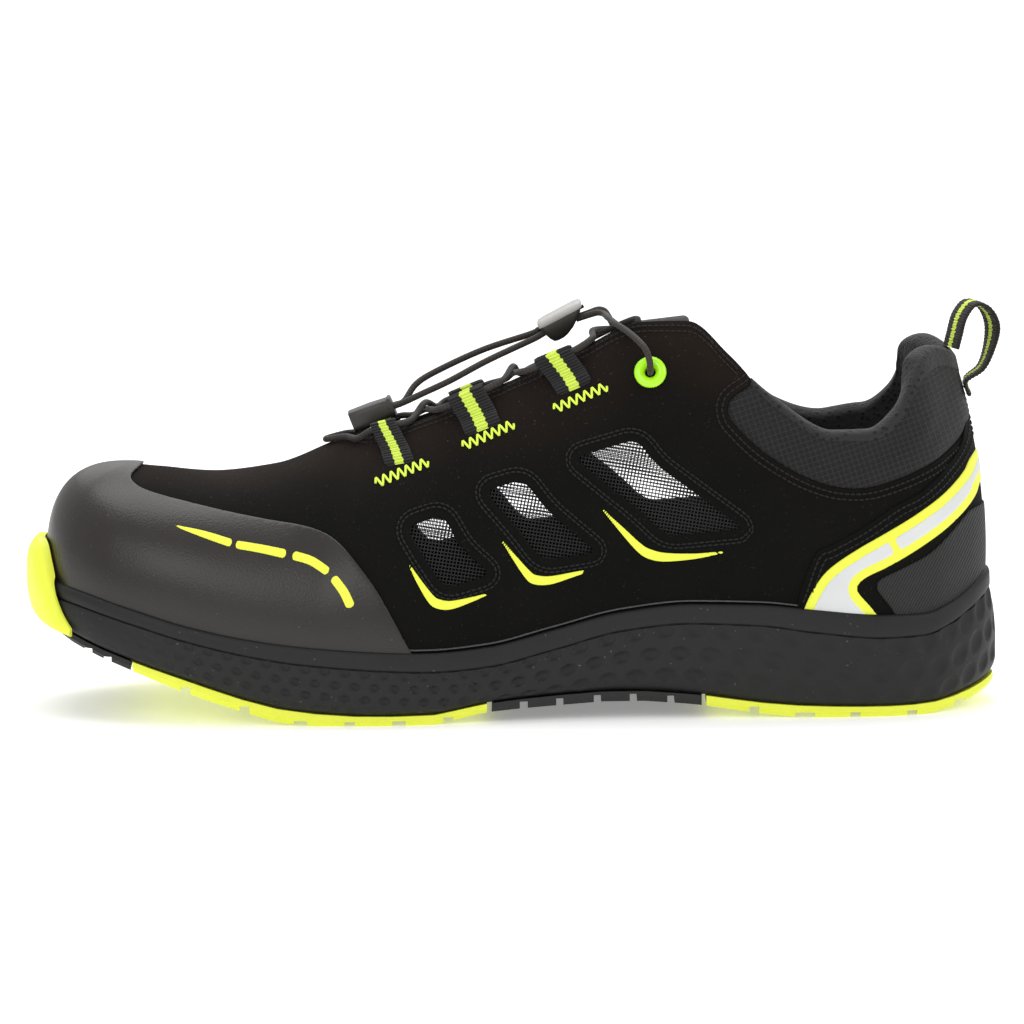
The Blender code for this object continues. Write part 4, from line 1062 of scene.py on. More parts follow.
# Toe cap: a thin brown rubber film moulded over the toe of the upper, with yellow dashes printed along
# its upper sweep.
CAP_LINE = (
    (37.1, 75.0), (33.6, 73.1), (32.2, 71.6), (33.8, 69.8), (38.7, 67.9), (50.1, 65.3), (62.8, 62.7),
    (75.0, 60.6), (84.7, 59.3), (91.3, 57.5), (97.0, 54.2), (102.0, 48.9), (107.8, 41.3), (113.5, 31.3),
    (119.5, 20.0),
)
CAP_LOOP = np.vstack(((39.5, 100.0), curve(CAP_LINE, 5), (119.5, -5.0), (-10.0, -5.0), (-10.0, 100.0)))
CAP_LIFT = 1.0
CAP_THICK = CAP_LIFT + 0.3
CAP_TURNS = even_turns(1.2, 0.0, 82.0)
CAP_SHARES = np.linspace(CUP_SHARE - 0.03, 1, 58)

# Dashes on the cap: middle line as (s, z) and half width at each point.
DASHES = (
    ((47.3, 59.1, 0.12), (55.6, 56.9, 0.75), (63.4, 54.6, 0.95)),
    ((66.0, 54.0, 0.95), (73.0, 52.9, 1.0), (79.9, 51.6, 1.1)),
    ((83.4, 51.0, 1.1), (88.3, 49.6, 1.1), (93.0, 46.8, 1.1)),
    ((95.6, 44.4, 1.15), (98.3, 41.0, 1.2), (100.2, 37.2, 1.2)),
)
DASH_LIFT = CAP_LIFT + 0.22
DASH_THICK = 0.4
STROKE_ROUND = 0.6
PRINT_STEP = 0.5
PRINT_WELD = 0.08
PRINT_EDGE = ((0.1, -0.03), (0.16, -0.1), (0.18, -0.2))


def film_finish():
    """Smooth matte film in grey-brown with a fine pebble and a few rubbed spots."""
    film = Finish("cap_film", specular_ior_level=0.42)
    pebble = film.node("ShaderNodeTexVoronoi", {"feature": "SMOOTH_F1"}, {
        "Vector": film.place(), "Scale": 1500.0, "Smoothness": 0.6}, "Distance")
    cloud = film.noise(55.0, 3.0)
    dust = film.ramp(film.noise(1100.0, 1.0), 0.73, 0.79)
    colour = film.mix(cloud, (0.0150, 0.0120, 0.0102), (0.0215, 0.0176, 0.0150))
    colour = film.mix(dust * 0.25, colour, (0.16, 0.15, 0.14))
    return film.done(colour, 0.29 + cloud * 0.1, pebble, 0.00008, 0.5)


def stroke(points):
    """A closed side-view outline round a middle line of changing half width, its ends rounded."""
    line = curve(points, 8)
    way = np.gradient(line[:, :2], axis=0)
    way /= np.linalg.norm(way, axis=1, keepdims=True)
    aside = np.stack((-way[:, 1], way[:, 0]), axis=1) * line[:, 2:]
    ends = []
    for k, step in ((-1, 1), (0, -1)):
        ahead = step * way[k] * line[k, 2] * STROKE_ROUND
        turns = np.radians((60, 0, -60))
        ends.append([line[k, :2] + step * aside[k] * math.sin(a) + ahead * math.cos(a) for a in turns])
    return np.vstack((line[:, :2] + aside, ends[0], (line[:, :2] - aside)[::-1], ends[1]))


def print_stretch(loop, shift):
    """A fine grid over one outline, moved by the shift of each side, for a layer cut to it."""
    spans = [on_skin(side, loop[:, 0] + shift[side], loop[:, 1]) for side in SIDES]
    turn, share = np.concatenate(spans, axis=1)
    columns = int((np.ptp(loop[:, 0]) - shift[LATERAL]) / PRINT_STEP) + 6
    rows = int(np.ptp(loop[:, 1]) / PRINT_STEP) + 8
    turns = np.linspace(turn.min() - 0.6, turn.max() + 0.6, columns)
    shares = np.linspace(share.min() - 0.02, min(1.0, share.max() + 0.02), rows)
    return turns, shares, within(loop, shift=shift)


def print_finish(name, base, tint):
    ink = Finish(name, specular_ior_level=0.4)
    cloud = ink.noise(150.0, 3.0)
    return ink.done(ink.mix(cloud, base, tint), 0.42 + cloud * 0.15, ink.noise(1900.0, 2.0), 0.00005, 0.5)


cap_film = film_finish()
yellow_print = print_finish("yellow_print", YELLOW, YELLOW_TINT)


def make_prints(name, strokes, shift, lift, thick):
    """Raised yellow strokes, printed on both sides of the shoe."""
    stretches = [print_stretch(stroke(points), shift) for points in strokes]
    prints = panel(name, stretches, lift, thick, [yellow_print] * 2, PRINT_EDGE, PRINT_WELD)
    wear(prints, "yellow_rubber")


def make_cap():
    stretches = [(CAP_TURNS, CAP_SHARES, within(CAP_LOOP))]
    cap = panel("toe_film", stretches, CAP_LIFT, CAP_THICK, [cap_film] * 2)
    wear(cap, "cap_film", "toe_cap")


make_cap()
make_prints("toe_dashes", DASHES, NO_SHIFT, DASH_LIFT, DASH_THICK)


# Window accents: a raised yellow stroke of rubber ink printed on the nubuck under each window, thickest
# at the window's corner.
ACCENTS = (
    ((118.1, 48.9, 0.12), (121.3, 43.6, 0.6), (124.7, 38.7, 1.05), (126.9, 37.1, 1.25), (130.7, 36.6, 1.1),
     (136.6, 38.0, 0.6), (141.8, 39.6, 0.12)),
    ((146.5, 55.2, 0.12), (150.6, 49.8, 0.6), (154.3, 45.1, 1.05), (156.5, 43.6, 1.25), (160.9, 43.3, 1.1),
     (167.6, 44.8, 0.6), (174.3, 46.5, 0.12)),
    ((177.2, 64.5, 0.12), (182.9, 58.3, 0.65), (188.4, 52.6, 1.1), (191.8, 50.6, 1.3), (196.5, 49.7, 1.15),
     (205.3, 50.0, 0.65), (214.2, 51.3, 0.12)),
)
ACCENT_LIFT = 0.35
ACCENT_THICK = 0.6

make_prints("window_accents", ACCENTS, WINDOW_SHIFT, ACCENT_LIFT, ACCENT_THICK)


# Heel: a nubuck counter sewn over the shell with a strip up the back, a reflective band of silver film
# on yellow tape round it, and a ribbed rubber patch low on the heel.
COUNTER_LINE = (
    (234.5, 22.0), (237.4, 36.7), (242.2, 50.0), (247.2, 53.0), (256.8, 58.2), (266.6, 64.7), (274.0, 68.3),
    (281.5, 74.5), (287.4, 82.0), (288.6, 95.0),
)
COUNTER_LOOP = np.vstack((curve(COUNTER_LINE, 5), (315.0, 95.0), (315.0, 22.0)))
STRIPE_TOP = (
    (236.6, 25.0), (239.2, 34.1), (241.9, 39.8), (244.8, 44.1), (248.6, 47.5), (255.2, 51.8), (262.5, 55.9),
    (270.2, 60.2), (277.3, 64.6), (282.8, 68.5), (287.6, 72.8), (291.0, 77.2), (302.0, 81.0),
)
STRIPE_FOOT = (
    (264.0, 25.0), (260.0, 32.0), (257.4, 35.2), (255.0, 38.0), (254.3, 39.9), (255.0, 41.8), (257.6, 43.9),
    (262.8, 46.3), (268.4, 49.2), (274.8, 52.9), (281.4, 57.1), (287.2, 61.4), (291.0, 65.3), (293.6, 69.6),
    (302.0, 73.0),
)
STRIPE_LOOP = np.vstack((curve(STRIPE_TOP, 5), curve(STRIPE_FOOT, 5)[::-1]))
STRIPE_BORDER = 2.5
STRIPE_BAR = (266.4, 52.0)
STRIPE_BAR_WAY = (0.87, 0.49)
STRIPE_BAR_HALF = 1.2
PATCH_LINE = (
    (269.0, 22.0), (266.4, 32.0), (261.6, 39.0), (261.2, 41.0), (262.4, 42.6), (270.2, 46.2), (277.0, 49.6),
    (283.5, 55.3), (288.0, 59.6), (291.0, 61.0), (302.0, 61.4),
)
PATCH_LOOP = np.vstack((curve(PATCH_LINE, 5), (315.0, 61.4), (315.0, 22.0)))
HEEL_TURNS = even_turns(1.1, 112.0, 180.0)
HEEL_SHARES = np.linspace(CUP_SHARE - 0.04, 0.95, 76)
COUNTER_LIFT = 0.7
COUNTER_THICK = 0.9
STRIPE_LIFT = 1.1
STRIPE_THICK = 0.5
SILVER_LIFT = 1.28
SILVER_THICK = 0.3
PATCH_LIFT = 1.3
PATCH_THICK = 0.8
RIB_PITCH = 0.85
RIB_LEAN = math.radians(62.0)


def silver_keep(side, s, z, turn, share):
    """The silver film stops short of the tape's edges and at one cross bar."""
    along = (s - STRIPE_BAR[0]) * STRIPE_BAR_WAY[0] + (z - STRIPE_BAR[1]) * STRIPE_BAR_WAY[1]
    return np.minimum(depth_in(STRIPE_LOOP, s, z) - STRIPE_BORDER, np.abs(along) - STRIPE_BAR_HALF)


def silver_finish():
    """Retro-reflective film: bright silver grey with a faint glass-bead sparkle."""
    silver = Finish("silver_film", metallic=0.25, specular_ior_level=0.5)
    bead = silver.noise(2600.0, 1.0)
    cloud = silver.noise(60.0, 2.0)
    colour = silver.mix(cloud, (0.62, 0.635, 0.635), (0.72, 0.73, 0.73))
    return silver.done(colour, 0.42 + bead * 0.15, bead, 0.00004, 0.5)


def ribbed_finish():
    """Dark rubberised textile with fine slanting ribs."""
    ribbed = Finish("ribbed_patch", specular_ior_level=0.35)
    place = ribbed.place()
    across = ribbed.axis(place, "X") * math.sin(RIB_LEAN) - ribbed.axis(place, "Z") * math.cos(RIB_LEAN)
    turn = across * (2 * math.pi / (RIB_PITCH * MM))
    wave = ribbed.apply("SINE", turn) * 0.5 + 0.5
    grain = ribbed.noise(1500.0, 2.0)
    colour = ribbed.mix(wave, (0.006, 0.006, 0.006), (0.027, 0.027, 0.027))
    return ribbed.done(colour, 0.55 + grain * 0.2, wave + grain * 0.25, 0.0003, 0.8)


silver_film = silver_finish()
ribbed_patch = ribbed_finish()


def heel_layer(name, keep, lift, thick, material, edge=EDGE_ROUND):
    return panel(name, [(HEEL_TURNS, HEEL_SHARES, keep)], lift, thick, [material] * 2, edge)


def make_heel():
    counter = heel_layer("nubuck_counter", within(COUNTER_LOOP), COUNTER_LIFT, COUNTER_THICK, nubuck)
    wear(counter, "nubuck", "heel_counter")
    tape = heel_layer("stripe_tape", within(STRIPE_LOOP), STRIPE_LIFT, STRIPE_THICK, yellow_print)
    wear(tape, "yellow_rubber", "reflective_stripe")
    film = heel_layer("stripe_film", silver_keep, SILVER_LIFT, SILVER_THICK, silver_film, PRINT_EDGE)
    wear(film, "reflective_film")
    patch = heel_layer("ribbed_heel", within(PATCH_LOOP), PATCH_LIFT, PATCH_THICK, ribbed_patch)
    wear(patch, "ribbed_panel", "heel_patch")


make_heel()


# Collar: a padded cuff of charcoal ripstop cloth round the ankle, sewn to the shell along the cuff line.
# Its lining of black knitted mesh rolls over the top edge and down the inside.
CUFF_TURNS = even_turns(1.1, 108.0, 180.0)
CUFF_SHARES = np.linspace(0.36, 1, 56)
CUFF_TUCK = 0.6
CUFF_THICK = 1.6

# The cuff's weave: pitch of its fine yarn and of its ripstop grid, and its slant.
CUFF_YARN = 0.55
CUFF_GRID = 1.65
CUFF_SLANT = math.radians(18.0)

# How far the stuffed cloth stands over the shell, by the distance from its sewn edge.
CUFF_PUFF = Table(("depth", "lift"), (
    (-1.0, -1.5), (0.0, -0.9), (0.8, -0.2), (2.5, 0.55), (6.0, 0.95), (14.0, 1.0)))

# Soft folds of the cloth: ends as (s, z), half width and height; a trough is below 0.
CUFF_FOLDS = (
    ((222.0, 93.0), (238.0, 80.5), 3.0, -0.45),
    ((228.0, 90.0), (246.0, 78.0), 2.6, 0.3),
    ((256.0, 78.5), (272.0, 86.0), 3.0, -0.4),
    ((266.0, 79.0), (282.0, 93.0), 2.8, 0.3),
    ((277.0, 84.0), (284.0, 101.0), 2.4, -0.35),
)
CUFF_PADDING = Table(("share", "pad"), ((0.43, 3.0), (0.6, 4.6), (0.79, 6.2), (1.0, 6.6)))
CUFF_TAPER = Table(("inside", "part"), ((0.0, 0.45), (3.0, 0.7), (9.0, 1.0)))
ROLL_HEIGHT = 2.4
ROLL_LIFT = 0.12
ROLL_FROM = (0.96, 0.4)
ROLL_TUCK = 0.02
ROLL_IN = 0.4
ROLL_BACK = 0.9
ROLL_OVER = Table(("turn", "share"), ((108, 0.985), (134, 0.98), (144, 0.95), (180, 0.94)))


def cuff_lift(side, s, z, turn, share):
    """Height of the stuffed cloth with its folds."""
    lift = CUFF_PUFF("lift", depth_in(CUFF_SHAPE, s, z))
    for start, end, half, height in CUFF_FOLDS:
        run = np.subtract(end, start)
        length = np.linalg.norm(run)
        t = np.clip(((s - start[0]) * run[0] + (z - start[1]) * run[1]) / length ** 2, 0, 1)
        away = np.hypot(s - start[0] - t * run[0], z - start[1] - t * run[1])
        lift = lift + height * np.exp(-(away / half) ** 2)
    return lift


def cuff_finish():
    """Charcoal ripstop: a fine weave with a raised grid of thicker yarn."""
    cloth = Finish("cuff_cloth", specular_ior_level=0.25, sheen_weight=0.06)
    place = cloth.place()
    along = cloth.axis(place, "X") * math.cos(CUFF_SLANT) + cloth.axis(place, "Z") * math.sin(CUFF_SLANT)
    up = cloth.axis(place, "Z") * math.cos(CUFF_SLANT) - cloth.axis(place, "X") * math.sin(CUFF_SLANT)
    weave = None
    grid = None
    for line in (along, up):
        fine = cloth.apply("SINE", line * (2 * math.pi / (CUFF_YARN * MM)))
        thick = cloth.apply("SINE", line * (2 * math.pi / (CUFF_GRID * MM)))
        bar = cloth.ramp(thick, 0.72, 0.98)
        weave = fine if weave is None else weave * fine
        grid = bar if grid is None else grid + bar
    cloud = cloth.noise(70.0, 3.0)
    colour = cloth.mix(cloud, (0.0070, 0.0070, 0.0072), (0.0125, 0.0125, 0.0125))
    colour = cloth.mix(grid * 0.5, colour, (0.034, 0.034, 0.033))
    return cloth.done(colour, 0.72, weave * 0.35 + grid * 0.7, 0.0003, 0.8)


def cuff_foot(side, turn):
    """The share at which one station of the upper goes into the cuff, or 1 where it stays below it."""
    shares = np.linspace(0.3, 1, 120)
    at = bare_skin(side, np.full(shares.shape, turn), shares)
    inside = depth_in(CUFF_SHAPE, at[:, 0] + LENGTH / 2, at[:, 2]) > 0
    return float(shares[np.argmax(inside)]) if inside.any() else 1.0


def roll_section(side, turn):
    """Closed section of the lining: over the top edge, down the inside and back up within the wall."""
    foot = cuff_foot(side, turn)
    edge = bare_skin(side, turn, 1.0)
    inside = float(depth_in(CUFF_SHAPE, edge[:1] + LENGTH / 2, edge[2:])[0])
    if foot > ROLL_FROM[0] or inside < ROLL_FROM[1]:
        return None
    part = float(CUFF_TAPER("part", inside))
    over = np.linspace(float(ROLL_OVER("share", turn)), 1.0, 4)
    at = bare_skin(side, np.full(4, turn), over)
    cloth = cuff_lift(side, at[:, 0] + LENGTH / 2, at[:, 2], turn, over)
    outer = skin(side, np.full(4, turn), over, cloth + ROLL_LIFT)
    down = np.linspace(1.0, foot - ROLL_TUCK, 14)
    inner = skin(side, np.full(14, turn), down, -CUFF_PADDING("pad", down) * part - ROLL_IN)
    up = outer[-1] - outer[-2]
    up = up / np.linalg.norm(up)
    roll = []
    for angle in np.linspace(0, 180, 13)[1:-1]:
        blend = (1 - math.cos(math.radians(angle))) / 2
        rise = ROLL_HEIGHT * part * math.sin(math.radians(angle))
        roll.append(outer[-1] * (1 - blend) + inner[0] * blend + up * rise)
    rise = np.linspace(foot - ROLL_TUCK, over[0], 10)
    back = skin(side, np.full(10, turn), rise, np.full(10, -ROLL_BACK))
    return np.concatenate((outer, roll, inner, back))


cuff_cloth = cuff_finish()


def make_collar():
    stretches = [(CUFF_TURNS, CUFF_SHARES, within(CUFF_SHAPE, CUFF_TUCK))]
    cloth = panel("collar_cloth", stretches, cuff_lift, CUFF_THICK, [cuff_cloth] * 2)
    wear(cloth, "cuff_cloth", "collar")
    sections = [roll_section(MEDIAL, turn) for turn in CUFF_TURNS]
    sections += [roll_section(LATERAL, turn) for turn in CUFF_TURNS[-2::-1]]
    sections = [section for section in sections if section is not None]
    roll = lofted("collar_lining", sections, lining, 50)
    wear(roll, "lining", "collar")


make_collar()


# Tongue: a padded tongue of the same knitted mesh, sewn in at the front of the throat. It lies under both
# flaps and is free at its top.
TONGUE_SHARES = (0.84, 0.88, 0.92, 0.96, 1.0)
TONGUE_DEPTH = WALL + 3.4
TONGUE_THICK = 4.0
TONGUE_CROWN = 0.75
TONGUE_TURNS = np.linspace(71.0, 109.0, 44)
TONGUE_FRONT_SHIFT = (-14.0, 0.0, -8.0)
TONGUE_ARCH = np.linspace(0, 1, 18)[1:-1]

# The rounded end: how far past the last station along the tongue, and the part of the thickness left.
TONGUE_END = ((0.7, 0.86), (1.2, 0.55), (1.4, 0.15))


def tongue_face(turn, depth):
    """A line across the tongue at one depth: under both flaps, and arched between them."""
    shares = np.array(TONGUE_SHARES)
    turns = np.full(shares.shape, turn)
    sunk = np.full(shares.shape, -depth)
    wings = {side: list(skin(side, turns, shares, sunk)) for side in SIDES}
    start = wings[MEDIAL][-1]
    end = wings[LATERAL][-1]
    chord = np.linalg.norm(end - start) * TONGUE_CROWN
    leave = start - wings[MEDIAL][-2]
    leave = leave * chord / np.linalg.norm(leave)
    arrive = wings[LATERAL][-2] - end
    arrive = arrive * chord / np.linalg.norm(arrive)
    arch = []
    for t in TONGUE_ARCH:
        arch.append((2 * t ** 3 - 3 * t ** 2 + 1) * start + (t ** 3 - 2 * t ** 2 + t) * leave
                    + (3 * t ** 2 - 2 * t ** 3) * end + (t ** 3 - t ** 2) * arrive)
    return np.array(wings[MEDIAL] + arch + wings[LATERAL][::-1])


def make_tongue():
    faces = [(tongue_face(turn, TONGUE_DEPTH), tongue_face(turn, TONGUE_DEPTH + TONGUE_THICK))
             for turn in TONGUE_TURNS]
    top, bottom = faces[-1]
    way = top - faces[-2][0]
    way = way / np.linalg.norm(way, axis=1, keepdims=True)
    for past, part in TONGUE_END:
        middle = (top + bottom) / 2 + way * past
        half = (top - bottom) / 2 * part
        faces.append((middle + half, middle - half))
    faces.insert(0, tuple(face + TONGUE_FRONT_SHIFT for face in faces[0]))
    sections = [np.concatenate((top, bottom[::-1])) for top, bottom in faces]
    tongue = lofted("padded_tongue", sections, lining, 60)
    wear(tongue, "lining", "tongue")


make_tongue()


# Insole: a loose footbed of dark felted cloth on thin foam. It lies in the cup, inside the foot of the
# upper, and nothing fixes it.
INSOLE_GAP = 0.4
INSOLE_ROWS = ((0.0, 0.0), (0.0, 2.6), (0.25, 3.4), (1.0, 4.0), (4.0, 4.0))
INSOLE_TURNS = even_turns(3.0)


def insole_finish():
    felt = Finish("insole_cloth", specular_ior_level=0.2, sheen_weight=0.1)
    fibre = felt.noise(1500.0, 4.0, rough=0.7)
    colour = felt.mix(fibre, (0.012, 0.012, 0.012), (0.036, 0.036, 0.035))
    return felt.done(colour, 0.85, fibre, 0.0002, 0.7)


def make_insole():
    halves = {}
    for side in SIDES:
        rows = []
        for inset, up in INSOLE_ROWS:
            depth = PLAN("tuck", INSOLE_TURNS) + WALL + FOOT_GAP + inset
            s, y, key, _, _ = plan_point(side, INSOLE_TURNS, depth)
            rows.append(np.stack((s - LENGTH / 2, y, SOLE("floor", key) + INSOLE_GAP + up), axis=-1))
        halves[side] = np.stack(rows, axis=1)
    loops = np.concatenate((halves[MEDIAL], halves[LATERAL][:, ::-1]), axis=1)
    insole = lofted("insole_cloth", loops, insole_finish(), 40, (False, False))
    wear(insole, "lining", "insole")


make_insole()


# Lace loops: tags of black ribbed webbing with a lime stripe, folded round the cord at the throat edge
# and sewn to the nubuck at the foot. A lime zigzag bar tack runs under each.
LOOP_TURNS = (72.6, 84.2, 94.2)
LOOP_FEET = (0.825, 0.862, 0.877)
LOOP_SLANTS = (10.0, 7.5, 13.5)
LOOP_HALF = 2.0
LOOP_THICK = 0.8
LOOP_NEAR = 0.4
LOOP_HOLD = 1.4
LOOP_DOWN = 1.0
LOOP_LEG = ((0.0, -1.2), (0.1, -0.35), (0.25, 0.0), (0.45, 0.15))
LOOP_TUCK = 2.5
LOOP_ROWS = 64
LOOP_COLUMNS = 17
LOOP_RIB = 0.95
LOOP_STRIPE = 0.3
LOOP_DARK = (0.0055, 0.0055, 0.0055)
LOOP_TINT = (0.02, 0.02, 0.02)
STRAP_RELIEF = 0.16
STRAP_STRIPE = 0.1
LIME = (0.78, 1.0, 0.12)

# Bar tacks: ends as (s, z) on the inner side; zigs in each, half height and thickness of the thread.
TACKS = (((107.8, 71.6), (123.8, 77.9)), ((134.4, 82.6), (150.0, 89.4)), ((162.3, 94.1), (178.4, 101.2)))
TACK_ZIGS = 7
TACK_HALF = 1.35
TACK_THREAD = 0.37
TACK_LIFT = 0.25
TACK_STEPS = 10
TACK_SHARP = 0.96


def edge_frame(side, turn):
    """The throat edge at one station: its point, the way up past the edge and the way out."""
    edge = skin(side, turn, 1.0)
    up = edge - skin(side, turn, 0.97)
    return edge, up / np.linalg.norm(up), skin_normal(side, turn, 1.0)


def loop_centre(side, turn):
    """Where the cord runs through a loop, outside the upper and just under the throat edge."""
    edge, up, out = edge_frame(side, turn)
    return edge - LOOP_DOWN * up + (LOOP_NEAR + LOOP_THICK + LOOP_HOLD) * out


def even_line(points, count):
    """Points at an even spacing along a line of close points."""
    points = np.array(points)
    run = np.concatenate(([0.0], np.cumsum(np.linalg.norm(np.diff(points, axis=0), axis=1))))
    even = np.linspace(0, run[-1], count)
    return np.stack([np.interp(even, run, points[:, k]) for k in range(points.shape[1])], axis=1), even


def loop_column(side, turn, foot, slant):
    """One hairpin line of a tag: up from its sewn foot, round the cord and down against the upper."""
    _, up, out = edge_frame(side, turn)
    centre = loop_centre(side, turn)
    radius = LOOP_HOLD + LOOP_THICK / 2
    line = []
    for part, sink in LOOP_LEG:
        share = foot + part * (1 - foot)
        line.append(skin(side, turn + slant * (1 - share), share, LOOP_NEAR + LOOP_THICK / 2 + sink))
    for angle in np.radians(np.linspace(90, -90, 15)):
        line.append(centre + radius * (math.cos(angle) * up + math.sin(angle) * out))
    line.append(centre - LOOP_TUCK * up - radius * out)
    return even_line(curve(line, 5), LOOP_ROWS)


def strap(name, grid, along, thick, stripe, rib, material):
    """A woven band from a grid of its middle face: cross ribs, a raised stripe and rounded edges."""
    rows, columns, _ = grid.shape
    across = np.linspace(-1, 1, columns)
    down = np.gradient(grid, axis=0)
    over = np.gradient(grid, axis=1)
    normal = np.cross(over, down)
    normal /= np.linalg.norm(normal, axis=2, keepdims=True)
    raised = np.where(np.abs(across) < stripe, STRAP_STRIPE, 0.0)
    relief = STRAP_RELIEF * np.cos(2 * math.pi * along / rib)[:, None] + raised
    half = thick / 2 * np.sqrt(np.clip(1 - np.abs(across) ** 10, 0.12, 1))
    half = half[None, :] + relief * np.clip((1 - np.abs(across)) * 8, 0, 1)
    faces_out = grid + normal * half[..., None]
    faces_in = grid - normal * half[..., None]
    loops = np.concatenate((faces_out, faces_in[:, ::-1]), axis=1)
    band = lofted(name, loops, material, 60)
    both = np.concatenate((across, across[::-1]))
    store(band, across=np.tile(both, rows), along=np.repeat(along, 2 * columns))
    return band


def store(thing, **values):
    """Keep values of every point for the finish; the piece has no doubled points."""
    for word, numbers in values.items():
        layer = thing.data.attributes.new(word, "FLOAT", "POINT")
        layer.data.foreach_set("value", np.asarray(numbers, dtype=np.float32))


def webbing_finish(name, base, tint, stripe, rib):
    """Ribbed webbing with a lime stripe of wavering edge down its middle."""
    webbing = Finish(name, specular_ior_level=0.25, sheen_weight=0.08)
    across = webbing.attribute("across")
    along = webbing.attribute("along")
    wave = webbing.apply("SINE", along * (2 * math.pi / (1.9 * rib)))
    off = webbing.apply("ABSOLUTE", across + wave * 0.035)
    lime = 1 - webbing.ramp(off, stripe - 0.02, stripe + 0.02)
    yarn = webbing.apply("COSINE", along * (2 * math.pi / rib)) * 0.5 + 0.5
    fibre = webbing.noise(2400.0, 3.0)
    dark = webbing.mix(yarn, base, tint)
    light = webbing.mix(yarn * 0.6 + fibre * 0.3, tuple(0.62 * c for c in LIME), LIME)
    return webbing.done(webbing.mix(lime, dark, light), 0.7, yarn + fibre * 0.5, 0.0002, 0.7)


loop_webbing = webbing_finish("loop_webbing", LOOP_DARK, LOOP_TINT, LOOP_STRIPE, LOOP_RIB)
lime_thread = thread_finish("lime_thread", (0.58, 0.74, 0.07), 0.3)


def make_loops():
    for side, word in SIDE_WORDS:
        for number, (turn, foot, slant) in enumerate(zip(LOOP_TURNS, LOOP_FEET, LOOP_SLANTS), 1):
            turns = turn + LOOP_HALF * np.linspace(-1, 1, LOOP_COLUMNS)
            columns = [loop_column(side, at, foot, slant) for at in turns]
            grid = np.stack([points for points, _ in columns], axis=1)
            along = np.mean([run for _, run in columns], axis=0)
            if side == LATERAL:
                grid = grid[:, ::-1]
            name = f"loop_tag_{word}_{number}"
            tag = strap(name, grid, along, LOOP_THICK, LOOP_STRIPE, LOOP_RIB, loop_webbing)
            wear(tag, "webbing", f"lace_loop_{word}_{number}")


def make_tacks():
    points = []
    edges = []
    for side in SIDES:
        for start, end in TACKS:
            way = np.subtract(end, start)
            aside = np.array((-way[1], way[0])) / np.linalg.norm(way)
            count = TACK_ZIGS * TACK_STEPS
            first = len(points)
            part = np.linspace(0, 1, count + 1)[:, None]
            swing = np.arcsin(TACK_SHARP * np.sin(2 * math.pi * TACK_ZIGS * part)) / math.asin(TACK_SHARP)
            at = np.array(start) + way * part + aside * swing * TACK_HALF
            turn, share = on_skin(MEDIAL, at[:, 0], at[:, 1])
            points += list(skin(side, turn, share, np.full(turn.shape, TACK_LIFT)))
            edges += [(i, i + 1) for i in range(first, first + count)]
    nodes, thread = thread_nodes("tack_thread", TACK_THREAD, 8)
    lines = lines_mesh("tack_lines", np.array(points), edges)
    wear(nodes.piece("bar_tacks", lines, thread, lime_thread), "webbing")


make_loops()
make_tacks()


# Eyelets: glossy lime plastic rings, one a side at the top of the throat. Each is pressed through a hole
# in the nubuck and clenched.
EYELET_SECTION = (
    (4.9, 0.35), (4.95, 0.7), (4.75, 1.15), (4.3, 1.5), (3.6, 1.72), (2.9, 1.68), (2.25, 1.45), (1.8, 1.05),
    (1.6, 0.4), (1.6, -2.4), (2.5, -2.4), (2.5, 0.35),
)
EYELET_SIDES = 56


def eyelet_frame(side):
    """The eyelet's middle on the upper, the way out and two ways along the face."""
    centre = skin(side, EYELET_TURN, EYELET_SHARE)
    normal = skin_normal(side, EYELET_TURN, EYELET_SHARE)
    along = np.cross(normal, (0.0, 0.0, 1.0))
    along = along / np.linalg.norm(along)
    return centre, normal, along, np.cross(normal, along)


def eyelet_finish():
    plastic = Finish("eyelet_plastic", specular_ior_level=0.6, coat_roughness=0.08)
    cloud = plastic.noise(160.0, 2.0)
    colour = plastic.mix(cloud, (0.40, 0.93, 0.004), (0.47, 0.98, 0.006))
    return plastic.done(colour, 0.22 + cloud * 0.06, cloud, 0.00002, 0.3, 0.4)


eyelet_plastic = eyelet_finish()


def make_eyelets():
    for side, word in SIDE_WORDS:
        centre, normal, along, up = eyelet_frame(side)
        sections = []
        for a in np.linspace(0, 2 * math.pi, EYELET_SIDES + 1):
            ray = math.cos(a) * along + math.sin(a) * up
            sections.append([centre + r * ray + lift * normal for r, lift in EYELET_SECTION])
        ring = lofted(f"eyelet_ring_{word}", sections, eyelet_plastic, 50, (False, False))
        wear(ring, "eyelet_plastic", f"eyelet_{word}")


make_eyelets()


# Lace: one round elastic cord with a braided sleeve. It lies round the front of the throat, runs through
# the loops, crosses over the tongue and goes under the flaps to the eyelets.
CORD_RADIUS = 1.0
CORD_SIDES = 14
CORD_STEP = 0.7
CROSS_RISE = 2.2
CROSS_OVER = 2.05
LOOP_ENTRY = LOOP_HALF + 0.5
EDGE_STEP = LOOP_ENTRY + 1.6
EDGE_UP = 1.7
EDGE_OUT = 0.2
FRONT_WAY = ((63.0, 0.99), (65.6, 0.968), (68.0, 0.966))
FRONT_LIFT = 1.45
HIDDEN_TURN = 103.0
HIDDEN_DEPTH = WALL + 1.9
HIDDEN_RUN = (4.0, 0.5, -2.5)

# Toggles: middle as (s, y, z), size along, across and up, and pitch towards the heel.
LOCK = {"middle": (165.0, 0.0, 118.0), "size": (15.0, 11.0, 7.0), "pitch": 28.0}
END = {"middle": (106.5, -2.5, 89.4), "size": (14.0, 9.0, 5.6), "pitch": 22.0}
LEAD = 3.0
CORD_GAP = 0.5
TAIL_GAP = 0.4
TAIL_LEAD = 2.5
CORD_IN = 2.5
TAIL_IN = 4.0

